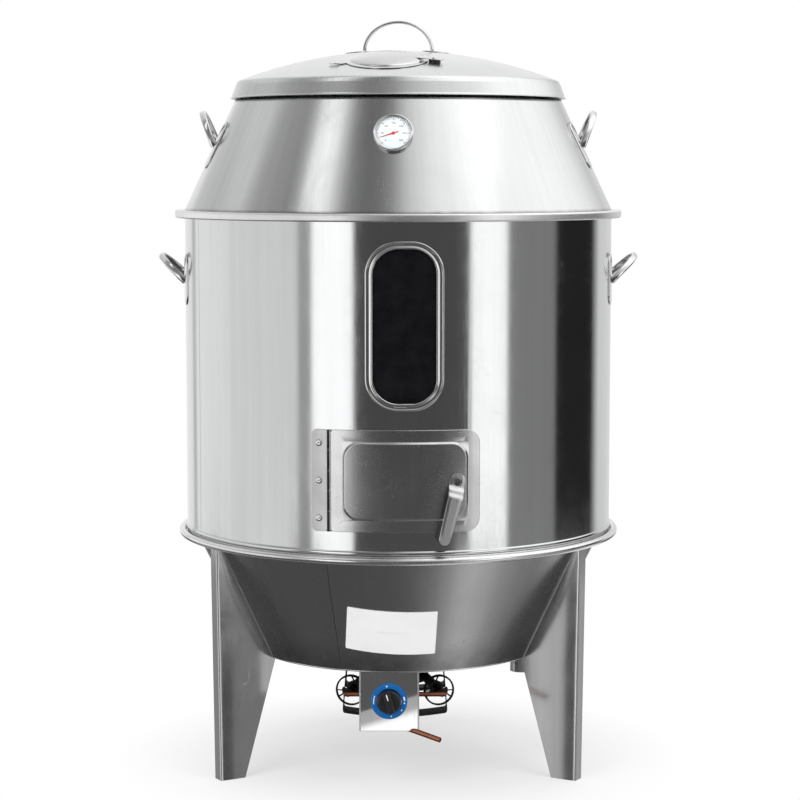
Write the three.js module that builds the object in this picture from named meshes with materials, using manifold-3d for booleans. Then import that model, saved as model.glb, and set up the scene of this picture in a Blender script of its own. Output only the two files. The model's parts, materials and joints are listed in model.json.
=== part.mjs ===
import * as THREE from 'three';
import { mergeVertices } from 'three/addons/utils/BufferGeometryUtils.js';
import Module from 'manifold-3d';

// A gas-fired stainless steel barrel oven for roasting hanging chickens.
// Lengths are millimetres and angles are degrees. The feet stand on z = 0, the axis of the
// barrel is x = y = 0, and the window and the fire door face -y. Heights go up along +z.

// Sheet, seats and cuts
const seat = 0.3; // gap between two pieces that rest on each other
const overrun = 20; // how far a cutting solid runs past what it cuts
const weld = 0.001; // points closer than this are one point
const trim = 0.01; // slivers thinner than this are dropped
const sheet = 1.5; // stainless sheet of shells and covers

// Base bowl and stand
const standHeight = 217.8; // floor to the bowl's lower rim
const bowlHeight = 222.5;
const bowlLedge = 16; // barrel's outside beyond the bowl's top
const bowlBottomRadius = 272;
const bowlLipWidth = 14; // rim turned in under the basin floor
const bowlFlangeProud = 2.7; // ledge beyond the barrel's outside
const rimBeadHalf = 6.8; // rolled rim around the ledge
const rimBeadRise = 2.7; // centre of the roll above the ledge's underside

// Basin floor, grease spout and burner shield
const floorSheet = 2;
const floorMargin = 2.5; // floor inside the bowl's foot
const flueRadius = 125; // hole over the burner
const flueHeight = 42;
const spoutRadius = 20;
const spoutWall = 1.5;
const spoutInset = 34.5; // spout's centre inside the floor's edge
const spoutLength = 57;
const spoutFlangeWidth = 6;
const shieldRadius = 150;
const shieldEdgeRise = 75; // shield's edge above the basin floor
const shieldPeak = 25;
const shieldSheet = 2;
const shieldLegPlace = 138;
const shieldLegWidth = 20;
const shieldLegThickness = 3;

// Legs
const legTopProud = 6; // web's outside beyond the bowl's top
const legLean = 6; // foot inside the web's top
const legTopDrop = 8; // top of a leg below the bowl's ledge
const legFootWidth = 50;
const legWebWidth = 26;
const legSheet = 2;
const legSoleThickness = 3;
const legRoot = 3; // run on into the bowl before it is trimmed
const legTurn = 120;
const legFirstTurn = 60;

// Barrel
const drumRadius = 400;
const drumHeight = 601;
const drumBeadProud = 2.4; // rolled bead near the barrel's foot
const drumBeadHeight = 8;
const drumBeadRise = 9;
const linerSetback = 28.5; // liner inside the barrel's outside

// Window
const frontTurn = 1.6; // window and door sit slightly to the right of the centre line
const windowWidth = 137.5;
const windowHeadroom = 45.35; // frame below the barrel's top
const windowFootGap = 32.65; // frame above the fire door
const windowCorner = 57;
const bezelWidth = 13.7;
const bezelThickness = 3.2;
const windowLipWidth = 9.7; // shell edge inside the bezel's outer edge
const glassThickness = 5;
const glassGrip = 5; // how far the glass reaches behind the shell
const tunnelWall = 3;

// Fire door
const doorTurn = 1.85;
const doorFootGap = 50.5; // door above the barrel's foot
const doorWidth = 260;
const doorHeight = 179;
const doorCorner = 24;
const doorHingeCorner = 6;
const doorLap = 16; // skin over the edge of the opening
const doorPanelMargin = 21.5;
const doorPanelCorner = 28;
const doorPanelRise = 4;
const doorPanelStep = 2.5;
const doorPanMargin = 46;
const doorPanDepth = 10;
const doorPanCorner = 12;
const tunnelSetback = 14; // tunnel walls behind the opening's edge
const hingeSetOff = 4.3; // pin left of the door's edge
const hingePinRadius = 1.5;
const hingeKnuckleRadius = 3;
const hingeBoreSlack = 0.3;
const hingeKnuckleGap = 0.5;
const hingePlay = 0.4; // knuckle above the barrel
const hingeLeafWidth = 28;
const hingeLeafCorner = 10;
const hingeLeafInset = 3.4;
const hingeRivetRadius = 4;
const hingeRivetHead = 1.8;
const hingeRivetHole = 2.3;
const hingeRivetSpread = 66;
const hingeRivetDrop = 1.7; // inner heads clear the flats of the wall
const hingeRivetPlace = 17.5; // rivets left of the pin
const leafReach = 4;

// Latch
const latchPlace = 88.9; // spindle right of the door's centre
const latchTilt = 12.7; // lever leans to the lower left
const latchStrapWidth = 27;
const latchTipWidth = 20;
const latchSheet = 3;
const latchHeadReach = 13.5;
const latchBendStart = 7;
const latchBendEnd = 32;
const latchOffset = 13;
const latchLength = 113;
const latchShankRadius = 5;
const latchBoltRadius = 6;
const latchBoltHead = 3;
const latchTongueLength = 36;
const latchTongueWidth = 16;
const latchTongueThickness = 3;
const latchTongueDepth = 7.4; // tongue's inner face behind the barrel's outside

// Strap handles of the barrel, the cone and the lid
const handleSpan = 128;
const handleReach = 66;
const lidHandleReach = 56.6;
const handleStrapWidth = 12;
const handleStrapThickness = 6;
const handleEdge = 2;
const handleRoot = 14; // strap run on into its plates before it is trimmed
const handleTilt = 43;
const padWidth = 44;
const padHeight = 95;
const padThickness = 2;
const padOffset = 9; // plate's centre outside the strap's foot
const padCorner = 20;
const drumHandleRise = 474.9; // above the barrel's foot
const coneHandleRise = 122.5; // above the cone's foot
const lidHandleTurn = 10;

// Top cone and its flange ring
const coneHeight = 205;
const coneTopRadius = 304;
const neckInset = 6; // neck inside the cone's top
const neckStep = 3;
const flangeProud = 18; // ring beyond the barrel's outside
const flangeDepth = 14;
const flangeReturn = 12;
const spigotPlay = 4; // spigot inside the liner's outside
const spigotDepth = 10;

// Thermometer
const gaugeTurn = -1.4;
const gaugeRise = 136.3; // above the cone's foot
const gaugeRadius = 35.5;
const gaugeDepth = 8.6;
const gaugeBack = 1.6;
const gaugeLip = 5;
const gaugeWall = 1.5;
const gaugeStand = 0.4;
const dialThickness = 0.8;
const lensThickness = 1.5;
const needleLength = 26;
const needleTail = 9;
const needleHub = 3;
const needleWidth = 2.4;
const needleThickness = 0.9;
const needleTurn = 199; // from three o'clock, counterclockwise
const probeLength = 90;
const probeRadius = 3;
const threadRadius = 5;
const threadLength = 13;
const spindleRadius = 1.2;
const nutRadius = 9;
const nutThickness = 4.5;
const nutDrop = 1; // clears the flats of the wall

// Lid
const domeRadius = 817;
const lidPlay = 4; // lid's shoulder outside the neck
const lidEdgeInset = 8; // where the dome meets the shoulder
const lidShoulderDrop = 6.5;
const lidShoulderMid = 2.4;
const lidSkirtFlare = 9.5;
const lidSkirtHeight = 28.2;
const lidLipWidth = 2.7;

// Vent cover on the lid
const ventX = -20;
const ventY = -190;
const ventHoleRadius = 55;
const ventRadius = 75;
const ventCrownRadius = 67;
const ventCrownRise = 10;
const ventCrownShares = [[1, 0], [0.9, 0.42], [0.68, 0.74], [0.38, 0.93], [0, 1]];
const ventSheet = 1.2;
const ventFloat = 0.6; // running gap over the dome
const ventTabWidth = 20;
const ventTabReach = 105;
const ventTabTurn = 188;
const ventPivotReach = 87;
const ventPivotTurn = -12;
const ventArmReach = 103;
const ventArmRoot = 40;
const spacerRadius = 10.75;
const spacerHeight = 5.3;
const rivetShankRadius = 3;
const rivetHeadRadius = 6;
const rivetHeadHeight = 2.2;
const rivetCrownShare = 0.75;
const rivetSideShare = 0.7;

// Hanging rack
const rackMargin = 29; // rack's ring inside the cone's top
const rackRod = 5;
const rackDrop = 55; // rack's centre line below the neck's foot
const rackBarWidth = 16;
const rackBarThickness = 5;
const rackEyeRadius = 28;
const rackEyeRod = 4;
const hookRod = 2.5;
const hookDrop = 48;
const hookBend = 12;
const hookTip = 8;
const hookTurn = 15; // first hook from the +x bar
const bracketWidth = 22;
const bracketThickness = 4;
const bracketLap = 11; // shelf inside the rack's ring
const bracketPlate = 30;

// Gas burner under the bowl
const burnerX = -6;
const burnerRimRadius = 84;
const burnerBodyRadius = 64;
const burnerBottomZ = 148;
const burnerRimHeight = 16;
const burnerBodyHeight = 26;
const burnerWall = 6;
const burnerSlotIn = 62;
const burnerSlotOut = 67;
const burnerLidHeight = 8;
const burnerCrownOut = 42;
const burnerCrownIn = 24;
const burnerCrownHeight = 14;
const burnerBossRadius = 22;
const cradleTopHalf = 90;
const cradleBottomHalf = 98;
const cradleRailHalf = 25;
const cradleStrap = 32;
const cradleSag = 10;
const cradleSheet = 3;
const cradlePlace = 105.5; // straps in front of and behind the burner's centre
const cradleBottomZ = 100;
const cradleCorner = 20;
const cradleFlange = 26;
const mixerMouthX = 82; // to either side of the burner's centre
const mixerMouthY = -150;
const mixerZ = 158;
const mixerMouthRadius = 29;
const mixerThroatRadius = 9;
const mixerWall = 2.5;
const mixerRingDepth = 6;
const mixerRibTurns = [90, 210, 330];
const mixerBellLength = 26;
const mixerLength = 140;
const mixerTurnIn = 12;
const shutterThickness = 2;
const shutterHub = 8;
const shutterBore = 5.5;
const shutterRing = 2;
const shutterVane = 28; // degrees
const nozzleRadius = 5;
const nozzleHexRadius = 8;
const nozzleLength = 24;

// Gas train and control box
const boxCentreX = -16.4;
const boxWidth = 108;
const boxDepth = 70;
const boxHeight = 109;
const boxFrontY = -264;
const knobRise = 55.2;
const knobBezelRadius = 33;
const knobBezelBore = 22.5;
const knobBezelThickness = 2;
const knobRadius = 21.5;
const knobSkirt = 9;
const knobGripWidth = 11;
const knobGripHeight = 13;
const knobStandOff = 4.6; // room for the push
const knobBoreDepth = 14;
const stemRadius = 4;
const stemSlack = 0.3;
const valveSize = 30;
const valveDepth = 38;
const valveBossRadius = 9;
const valveBossLength = 14;
const manifoldRadius = 4.5;
const manifoldY = -183;
const inletRadius = 6;
const inletBore = 5;
const inletX = 28;
const inletEndX = 76;
const inletEndY = -285;
const inletZ = 93;
const inletEndZ = 97;
const inletBend = 11;
const plateWidth = 162;
const plateHeight = 92;
const plateThickness = 0.6;
const plateTurn = -2.3;
const plateRise = 81;

// Counts of facets
const shellSides = 40;
const roundSides = 20;
const smallSides = 12;
const tinySides = 8;
const beadSides = 6;
const domeSteps = 4;
const cornerSteps = 3;
const arcSteps = 4;
const tipSteps = 5;
const archSteps = 6;
const hookSteps = 7;
const pipeSteps = 16;

// Quarter and half of a turn
const quarterTurn = 90;
const halfTurn = 180;

// Levels and outlines that follow from the sizes above
const rad = Math.PI / 180;
const bowlTopRadius = drumRadius - bowlLedge;
const bowlFlangeRadius = drumRadius + bowlFlangeProud;
const floorRadius = bowlBottomRadius - floorMargin;
const spoutPlace = floorRadius - spoutInset;
const legTopRadius = bowlTopRadius + legTopProud;
const legBottomRadius = legTopRadius - legLean;
const linerRadius = drumRadius - linerSetback;
const spigotRadius = linerRadius - spigotPlay;
const flangeRadius = drumRadius + flangeProud;
const neckRadius = coneTopRadius - neckInset;
const lidShoulderRadius = neckRadius + lidPlay;
const lidEdgeRadius = lidShoulderRadius - lidEdgeInset;
const lidSkirtRadius = lidShoulderRadius + lidSkirtFlare;
const lidLipRadius = lidSkirtRadius + lidLipWidth;
const rackRadius = coneTopRadius - rackMargin;
const bracketReach = rackRadius - bracketLap;
const hingeRadius = drumRadius + hingePlay + hingeKnuckleRadius;
const hingeTurn = doorTurn - Math.asin((doorWidth / 2 + hingeSetOff) / hingeRadius) / rad;
const latchTurn = doorTurn + Math.asin(latchPlace / drumRadius) / rad;
const bowlTopZ = standHeight + bowlHeight;
const bowlSlope = (bowlTopRadius - bowlBottomRadius) / bowlHeight;
const bowlWall = sheet * Math.hypot(1, bowlSlope);
const floorZ = standHeight + sheet + seat;
const drumZ = bowlTopZ + sheet + seat;
const drumTopZ = drumZ + drumHeight;
const coneZ = drumTopZ + seat + sheet + seat;
const coneTopZ = coneZ + coneHeight;
const coneSlope = (drumRadius - coneTopRadius) / coneHeight;
const coneLean = Math.atan(coneSlope) / rad;
const coneWall = sheet * Math.hypot(1, coneSlope);
const lidZ = coneTopZ + seat;
const shoulderZ = lidZ + lidSkirtHeight;
const domeEdgeZ = shoulderZ + lidShoulderDrop;
const domeCentreZ = domeEdgeZ - Math.sqrt(domeRadius ** 2 - lidEdgeRadius ** 2);
const lidTopZ = domeCentreZ + domeRadius;
const windowHeight = drumHeight - windowHeadroom - windowFootGap - doorHeight - doorFootGap;
const windowZ = drumTopZ - windowHeadroom - windowHeight / 2;
const doorZ = drumZ + doorFootGap + doorHeight / 2;
const bowlRadiusAt = (z) => bowlBottomRadius + (z - standHeight) * bowlSlope;
const coneRadiusAt = (z) => drumRadius - (z - coneZ) * coneSlope;

// Turns a three.js geometry into a closed solid for joining and cutting
function solidOf(geometry) {
  const bare = geometry.clone();
  bare.deleteAttribute('normal');
  bare.deleteAttribute('uv');
  const welded = mergeVertices(bare, weld);
  const place = welded.attributes.position.array;
  const corners = welded.index.array;
  const kept = [];
  let volume = 0;
  for (let i = 0; i < corners.length; i += 3) {
    const [a, b, c] = [corners[i], corners[i + 1], corners[i + 2]];
    if (a === b || b === c || c === a) continue;
    kept.push(a, b, c);
    const p = new THREE.Vector3().fromArray(place, 3 * a);
    const q = new THREE.Vector3().fromArray(place, 3 * b);
    const r = new THREE.Vector3().fromArray(place, 3 * c);
    volume += p.dot(q.cross(r));
  }
  if (volume < 0) kept.reverse();
  const vertProperties = new Float32Array(place);
  return new wasm.Manifold(new wasm.Mesh({ numProp: 3, vertProperties, triVerts: new Uint32Array(kept) }));
}

function geometryOf(solid) {
  const mesh = solid.asOriginal().simplify(trim).getMesh();
  const geometry = new THREE.BufferGeometry();
  geometry.setAttribute('position', new THREE.BufferAttribute(new Float32Array(mesh.vertProperties), 3));
  geometry.setIndex(new THREE.BufferAttribute(new Uint32Array(mesh.triVerts), 1));
  return geometry;
}

const wasm = await Module();
wasm.setup();

const join = (...pieces) => geometryOf(pieces.map(solidOf).reduce((a, b) => a.add(b)));
const cut = (piece, ...tools) => geometryOf(tools.map(solidOf).reduce((a, b) => a.subtract(b), solidOf(piece)));
const common = (...pieces) => geometryOf(pieces.map(solidOf).reduce((a, b) => a.intersect(b)));

// Shapes

// A turned body about the z axis from [radius, height] pairs. A profile that leaves the axis
// at both ends is closed on itself.
function turned(profile, sides = shellSides) {
  const points = profile.map(([radius, height]) => new THREE.Vector2(radius, height));
  if (points[0].x > 0) points.push(points[0].clone());
  const geometry = new THREE.LatheGeometry(points, sides);
  return geometry.rotateX(Math.PI / 2);
}

const disc = (radius, low, high, sides = smallSides) =>
  turned([[0, low], [radius, low], [radius, high], [0, high]], sides);

const sleeve = (inner, outer, low, high, sides = shellSides) =>
  turned([[inner, low], [outer, low], [outer, high], [inner, high]], sides);

function roundedOutline(width, height, corners) {
  const [a, b, c, d] = Array.isArray(corners) ? corners : [corners, corners, corners, corners];
  const [x, y] = [width / 2, height / 2];
  const outline = new THREE.Shape();
  outline.moveTo(-x + a, -y);
  outline.lineTo(x - b, -y);
  outline.absarc(x - b, -y + b, b, -Math.PI / 2, 0, false);
  outline.lineTo(x, y - c);
  outline.absarc(x - c, y - c, c, 0, Math.PI / 2, false);
  outline.lineTo(-x + d, y);
  outline.absarc(-x + d, y - d, d, Math.PI / 2, Math.PI, false);
  outline.lineTo(-x, -y + a);
  outline.absarc(-x + a, -y + a, a, Math.PI, Math.PI * 1.5, false);
  return outline;
}

const slab = (outline, low, high, curveSegments = cornerSteps) =>
  new THREE.ExtrudeGeometry(outline, { depth: high - low, bevelEnabled: false, curveSegments }).translate(0, 0, low);

function block(x0, x1, y0, y1, z0, z1) {
  const geometry = new THREE.BoxGeometry(x1 - x0, y1 - y0, z1 - z0);
  return geometry.translate((x0 + x1) / 2, (y0 + y1) / 2, (z0 + z1) / 2);
}

// The frame of a place on the outside of a body of revolution: local x runs to the right as
// seen from outside, local y up along the wall, and local z out of the wall.
function wallFrame(turn, lean, radius, height) {
  const [s, c, e, f] = [Math.sin(turn * rad), Math.cos(turn * rad), Math.sin(lean * rad), Math.cos(lean * rad)];
  const across = new THREE.Vector3(c, s, 0);
  const up = new THREE.Vector3(-s * e, c * e, f);
  const out = new THREE.Vector3(s * f, -c * f, e);
  return new THREE.Matrix4().makeBasis(across, up, out).setPosition(radius * s, -radius * c, height);
}

// The frame of a place on the lid's dome, with local z along the dome's radius
function domeFrame(x, y) {
  const out = new THREE.Vector3(x, y, Math.sqrt(domeRadius ** 2 - x ** 2 - y ** 2)).normalize();
  const turn = new THREE.Quaternion().setFromUnitVectors(new THREE.Vector3(0, 0, 1), out);
  return new THREE.Matrix4().makeRotationFromQuaternion(turn).setPosition(0, 0, domeCentreZ);
}

const shellPiece = (frame, outline, inner, outer, low, high) =>
  common(sleeve(inner, outer, low, high), slab(outline, -drumRadius / 2, drumRadius / 2).applyMatrix4(frame));

// Base: bowl, rim, basin floor, spout, shield and legs

const bowlProfile = [
  [bowlBottomRadius - bowlLipWidth, standHeight],
  [bowlBottomRadius, standHeight],
  [bowlTopRadius, bowlTopZ],
  [bowlFlangeRadius, bowlTopZ],
  [bowlFlangeRadius, bowlTopZ + sheet],
  [bowlRadiusAt(bowlTopZ + sheet) - bowlWall, bowlTopZ + sheet],
  [bowlRadiusAt(standHeight + sheet) - bowlWall, standHeight + sheet],
  [bowlBottomRadius - bowlLipWidth, standHeight + sheet],
];

function baseBowl() {
  return turned(bowlProfile);
}

function rimBead() {
  const profile = [];
  const centreZ = bowlTopZ + rimBeadRise;
  const sides = beadSides;
  const centreRadius = bowlFlangeRadius + seat + rimBeadHalf * Math.cos(Math.PI / sides);
  for (let i = 0; i < sides; i += 1) {
    const angle = ((i + 1 / 2) / sides) * 2 * Math.PI;
    profile.push([centreRadius + rimBeadHalf * Math.cos(angle), centreZ + rimBeadHalf * Math.sin(angle)]);
  }
  return turned(profile);
}

function basinFloor() {
  const dish = turned([
    [flueRadius, floorZ],
    [floorRadius, floorZ],
    [floorRadius, floorZ + floorSheet],
    [flueRadius + floorSheet, floorZ + floorSheet],
    [flueRadius + floorSheet, floorZ + flueHeight],
    [flueRadius, floorZ + flueHeight],
  ]);
  const hole = disc(spoutRadius + seat, -overrun, overrun, roundSides).translate(spoutPlace, 0, floorZ);
  return cut(dish, hole);
}

function greaseSpout() {
  const topZ = floorZ + floorSheet + seat;
  return turned([
    [spoutRadius - spoutWall, topZ - spoutLength - floorSheet],
    [spoutRadius, topZ - spoutLength - floorSheet],
    [spoutRadius, topZ],
    [spoutRadius + spoutFlangeWidth, topZ],
    [spoutRadius + spoutFlangeWidth, topZ + spoutWall],
    [spoutRadius - spoutWall, topZ + spoutWall],
  ], roundSides).translate(spoutPlace, 0, 0);
}

function burnerShield() {
  const edgeZ = floorZ + floorSheet + shieldEdgeRise;
  const slope = shieldPeak / shieldRadius;
  const cap = turned([
    [0, edgeZ + shieldPeak - shieldSheet],
    [shieldRadius, edgeZ - shieldSheet],
    [shieldRadius, edgeZ],
    [0, edgeZ + shieldPeak],
  ], roundSides);
  const legTop = edgeZ + (shieldRadius - shieldLegPlace - shieldLegThickness) * slope - shieldSheet / 2;
  const legs = [0, 1, 2].map((i) => block(
    -shieldLegWidth / 2, shieldLegWidth / 2,
    shieldLegPlace, shieldLegPlace + shieldLegThickness,
    floorZ + floorSheet + seat, legTop,
  ).rotateZ((i * legTurn + legFirstTurn / 2) * rad));
  return join(cap, ...legs);
}

// The bowl's outside with the seating gap around it, filled in
const bowlCore = () => turned([
  [0, standHeight - seat],
  [bowlBottomRadius + seat * Math.hypot(1, bowlSlope), standHeight - seat],
  [bowlTopRadius + seat * Math.hypot(1, bowlSlope), bowlTopZ],
  [0, bowlTopZ],
]);

// One leg is a folded channel with its web outside. Its side plates are trimmed to the bowl.
function leg(turn) {
  const topZ = bowlTopZ - legTopDrop;
  const side = new THREE.Shape();
  side.moveTo(legBottomRadius - legFootWidth, 0);
  side.lineTo(legBottomRadius, 0);
  side.lineTo(legTopRadius, topZ);
  side.lineTo(bowlRadiusAt(topZ) - legRoot, topZ);
  side.lineTo(bowlBottomRadius - legRoot, standHeight);
  const room = new THREE.Shape();
  room.moveTo(bowlBottomRadius - legWebWidth, legSoleThickness);
  room.lineTo(legBottomRadius - legSheet, legSoleThickness);
  room.lineTo(legTopRadius - legSheet, topZ + overrun);
  room.lineTo(bowlBottomRadius - legWebWidth, topZ + overrun);
  const half = legWebWidth / 2;
  const channel = cut(
    slab(side, -half, half).rotateX(Math.PI / 2),
    slab(room, legSheet - half, half - legSheet).rotateX(Math.PI / 2),
  );
  return cut(channel.rotateZ((turn - quarterTurn) * rad), bowlCore());
}

// Barrel: shells, window and fire door opening

const frontFrame = wallFrame(frontTurn, 0, drumRadius, windowZ);
const doorFrame = wallFrame(doorTurn, 0, drumRadius, doorZ);

const openingOutline = (grow) =>
  roundedOutline(
    doorWidth - 2 * doorLap + 2 * grow,
    doorHeight - 2 * doorLap + 2 * grow,
    doorCorner / 2 + grow / 2,
  );

const windowOutline = (inset) =>
  roundedOutline(windowWidth - 2 * inset, windowHeight - 2 * inset, windowCorner - inset);

const throughWall = (outline, frame) => slab(outline, -drumRadius / 2, overrun).applyMatrix4(frame);

function drumShell() {
  const beadZ = drumZ + drumBeadRise;
  const profile = [
    [drumRadius - sheet, drumZ],
    [drumRadius, drumZ],
    [drumRadius, beadZ],
    [drumRadius + drumBeadProud, beadZ + drumBeadHeight / 4],
    [drumRadius + drumBeadProud, beadZ + (drumBeadHeight * 3) / 4],
    [drumRadius, beadZ + drumBeadHeight],
    [drumRadius, drumTopZ],
    [drumRadius - sheet, drumTopZ],
  ];
  const rivets = [-1, 0, 1].map((i) =>
    disc(hingeRivetHole + seat, -overrun, overrun, tinySides)
      .applyMatrix4(wallFrame(hingeTurn, 0, drumRadius, doorZ + i * hingeRivetSpread)
        .multiply(new THREE.Matrix4().makeTranslation(-hingeRivetPlace, 0, 0))));
  return cut(
    turned(profile),
    throughWall(windowOutline(windowLipWidth), frontFrame),
    throughWall(openingOutline(0), doorFrame),
    ...rivets,
  );
}

function drumLiner() {
  const flangeEdge = drumRadius - sheet - seat;
  const profile = [
    [linerRadius - sheet, drumZ],
    [flangeEdge, drumZ],
    [flangeEdge, drumZ + sheet],
    [linerRadius, drumZ + sheet],
    [linerRadius, drumTopZ - sheet],
    [flangeEdge, drumTopZ - sheet],
    [flangeEdge, drumTopZ],
    [linerRadius - sheet, drumTopZ],
  ];
  return cut(
    turned(profile),
    throughWall(windowOutline(windowLipWidth - glassGrip + tunnelWall), frontFrame),
    throughWall(openingOutline(tunnelSetback), doorFrame),
  );
}

const windowBezel = () => cut(
  shellPiece(frontFrame, windowOutline(0), drumRadius + seat, drumRadius + bezelThickness, drumZ, drumTopZ),
  throughWall(windowOutline(bezelWidth), frontFrame),
);

const glassOuterRadius = drumRadius - sheet - seat;
const tunnelOuterRadius = glassOuterRadius - glassThickness - seat;

const windowGlass = () => common(
  sleeve(glassOuterRadius - glassThickness, glassOuterRadius, drumZ, drumTopZ),
  throughWall(windowOutline(windowLipWidth - glassGrip), frontFrame),
);

const windowTunnel = () => cut(
  common(
    sleeve(linerRadius + seat, tunnelOuterRadius, drumZ, drumTopZ),
    throughWall(windowOutline(windowLipWidth - glassGrip), frontFrame),
  ),
  throughWall(windowOutline(windowLipWidth - glassGrip + tunnelWall), frontFrame),
);

const doorTunnel = () => cut(
  common(
    sleeve(linerRadius + seat, drumRadius - sheet - seat, drumZ + overrun, drumTopZ),
    throughWall(openingOutline(tunnelSetback + sheet), doorFrame),
  ),
  throughWall(openingOutline(tunnelSetback), doorFrame),
);

// Fire door, hinge and latch

const skinInner = drumRadius + seat;
const skinOuter = skinInner + sheet;
const hingeFrame = wallFrame(hingeTurn, 0, hingeRadius, doorZ);
const knuckleLength = doorHeight / 5;

const knuckle = (index) => disc(
  hingeKnuckleRadius,
  (index - 1 / 2) * knuckleLength + hingeKnuckleGap / 2,
  (index + 1 / 2) * knuckleLength - hingeKnuckleGap / 2,
  smallSides,
).rotateX(-Math.PI / 2).applyMatrix4(hingeFrame);

const hingeBore = () =>
  disc(hingePinRadius + hingeBoreSlack, -doorHeight, doorHeight, smallSides)
    .rotateX(-Math.PI / 2).applyMatrix4(hingeFrame);

// Tongues of sheet that run from a leaf to its knuckles, and rise to the pin beside them
function knuckleTongues(indexes, side) {
  const strip = (index, reach, outer) => common(
    sleeve(skinInner, outer, drumZ, drumTopZ),
    block(
      Math.min(0, side * reach), Math.max(0, side * reach),
      (index - 1 / 2) * knuckleLength + hingeKnuckleGap / 2,
      (index + 1 / 2) * knuckleLength - hingeKnuckleGap / 2,
      -overrun, overrun,
    ).applyMatrix4(hingeFrame),
  );
  return indexes.flatMap((index) => [
    strip(index, leafReach + hingeLeafInset, skinOuter),
    strip(index, hingeKnuckleRadius, hingeRadius),
  ]);
}

function fireDoor() {
  const skin = shellPiece(
    doorFrame,
    roundedOutline(doorWidth, doorHeight, [doorHingeCorner, doorCorner, doorCorner, doorHingeCorner]),
    skinInner, skinOuter, drumZ, drumTopZ,
  );
  const panel = (inset, inner, outer) => shellPiece(
    doorFrame,
    roundedOutline(
      doorWidth - 2 * (doorPanelMargin + inset),
      doorHeight - 2 * (doorPanelMargin + inset),
      doorPanelCorner - inset,
    ),
    inner, outer, drumZ, drumTopZ,
  );
  const tongues = knuckleTongues([-1, 1], 1);
  const pressed = join(
    skin,
    panel(0, skinInner, skinOuter + doorPanelRise / 2),
    panel(doorPanelStep, skinInner, skinOuter + doorPanelRise),
    ...tongues, knuckle(-1), knuckle(1),
  );
  const shank = disc(latchShankRadius + seat, -overrun, overrun, smallSides)
    .applyMatrix4(wallFrame(latchTurn, 0, drumRadius, doorZ));
  return cut(
    pressed,
    panel(doorPanelStep + sheet, skinInner - overrun, skinOuter + doorPanelRise - sheet),
    hingeBore(),
    shank,
  );
}

// Heat pan behind the door, clear of the latch
function doorPan() {
  const outline = (inset) => roundedOutline(
    doorWidth - 2 * doorPanMargin - latchTongueLength - 2 * inset,
    doorHeight - 2 * doorPanMargin - 2 * inset,
    doorPanCorner,
  );
  const frame = wallFrame(doorTurn - latchTongueLength / 2 / drumRadius / rad, 0, drumRadius, doorZ);
  const top = skinOuter + doorPanelRise - sheet - seat;
  return cut(
    shellPiece(frame, outline(0), skinInner - doorPanDepth, top, drumZ, drumTopZ),
    shellPiece(frame, outline(sheet), skinInner - doorPanDepth + sheet, top + overrun, drumZ, drumTopZ),
  );
}

function hingeLeaf() {
  const centre = -(hingeLeafInset + hingeLeafWidth / 2);
  const frame = wallFrame(hingeTurn, 0, drumRadius, doorZ)
    .multiply(new THREE.Matrix4().makeTranslation(centre, 0, 0));
  const leaf = shellPiece(
    frame,
    roundedOutline(
      hingeLeafWidth, doorHeight,
      [hingeLeafCorner, doorHingeCorner / 2, doorHingeCorner / 2, hingeLeafCorner],
    ),
    skinInner, skinOuter, drumZ, drumTopZ,
  );
  const tongues = knuckleTongues([-2, 0, 2], -1);
  const holes = [-1, 0, 1].map((i) => disc(hingeRivetHole + seat, -overrun, overrun, tinySides)
    .applyMatrix4(rivetFrame(i)));
  return cut(join(leaf, ...tongues, knuckle(-2), knuckle(0), knuckle(2)), hingeBore(), ...holes);
}

const hingePin = () =>
  disc(hingePinRadius, -doorHeight / 2, doorHeight / 2, smallSides)
    .rotateX(-Math.PI / 2).applyMatrix4(hingeFrame);

const rivetFrame = (index) =>
  wallFrame(hingeTurn, 0, drumRadius, doorZ + index * hingeRivetSpread)
    .multiply(new THREE.Matrix4().makeTranslation(-hingeRivetPlace, 0, 0));

function hingeRivet(index) {
  const sag = drumRadius - Math.sqrt(drumRadius ** 2 - hingeRivetPlace ** 2);
  const top = skinOuter - drumRadius - sag + 2 * seat;
  const bottom = -sheet - sag - hingeRivetDrop;
  return turned([
    [0, bottom - hingeRivetHead],
    [hingeRivetRadius, bottom - hingeRivetHead],
    [hingeRivetRadius, bottom],
    [hingeRivetHole, bottom],
    [hingeRivetHole, top],
    [hingeRivetRadius, top],
    [hingeRivetRadius * rivetCrownShare, top + hingeRivetHead * rivetSideShare],
    [0, top + hingeRivetHead],
  ], tinySides).applyMatrix4(rivetFrame(index));
}

const latchFrame = () =>
  wallFrame(latchTurn, 0, drumRadius, doorZ).multiply(new THREE.Matrix4().makeRotationZ(-latchTilt * rad));
const latchSeat = skinOuter + doorPanelRise - drumRadius + seat;

// Lays an outline of [up, out] pairs along the wall and runs its thickness across it
const sideways = new THREE.Matrix4().makeBasis(
  new THREE.Vector3(0, 1, 0), new THREE.Vector3(0, 0, 1), new THREE.Vector3(1, 0, 0),
);

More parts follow.
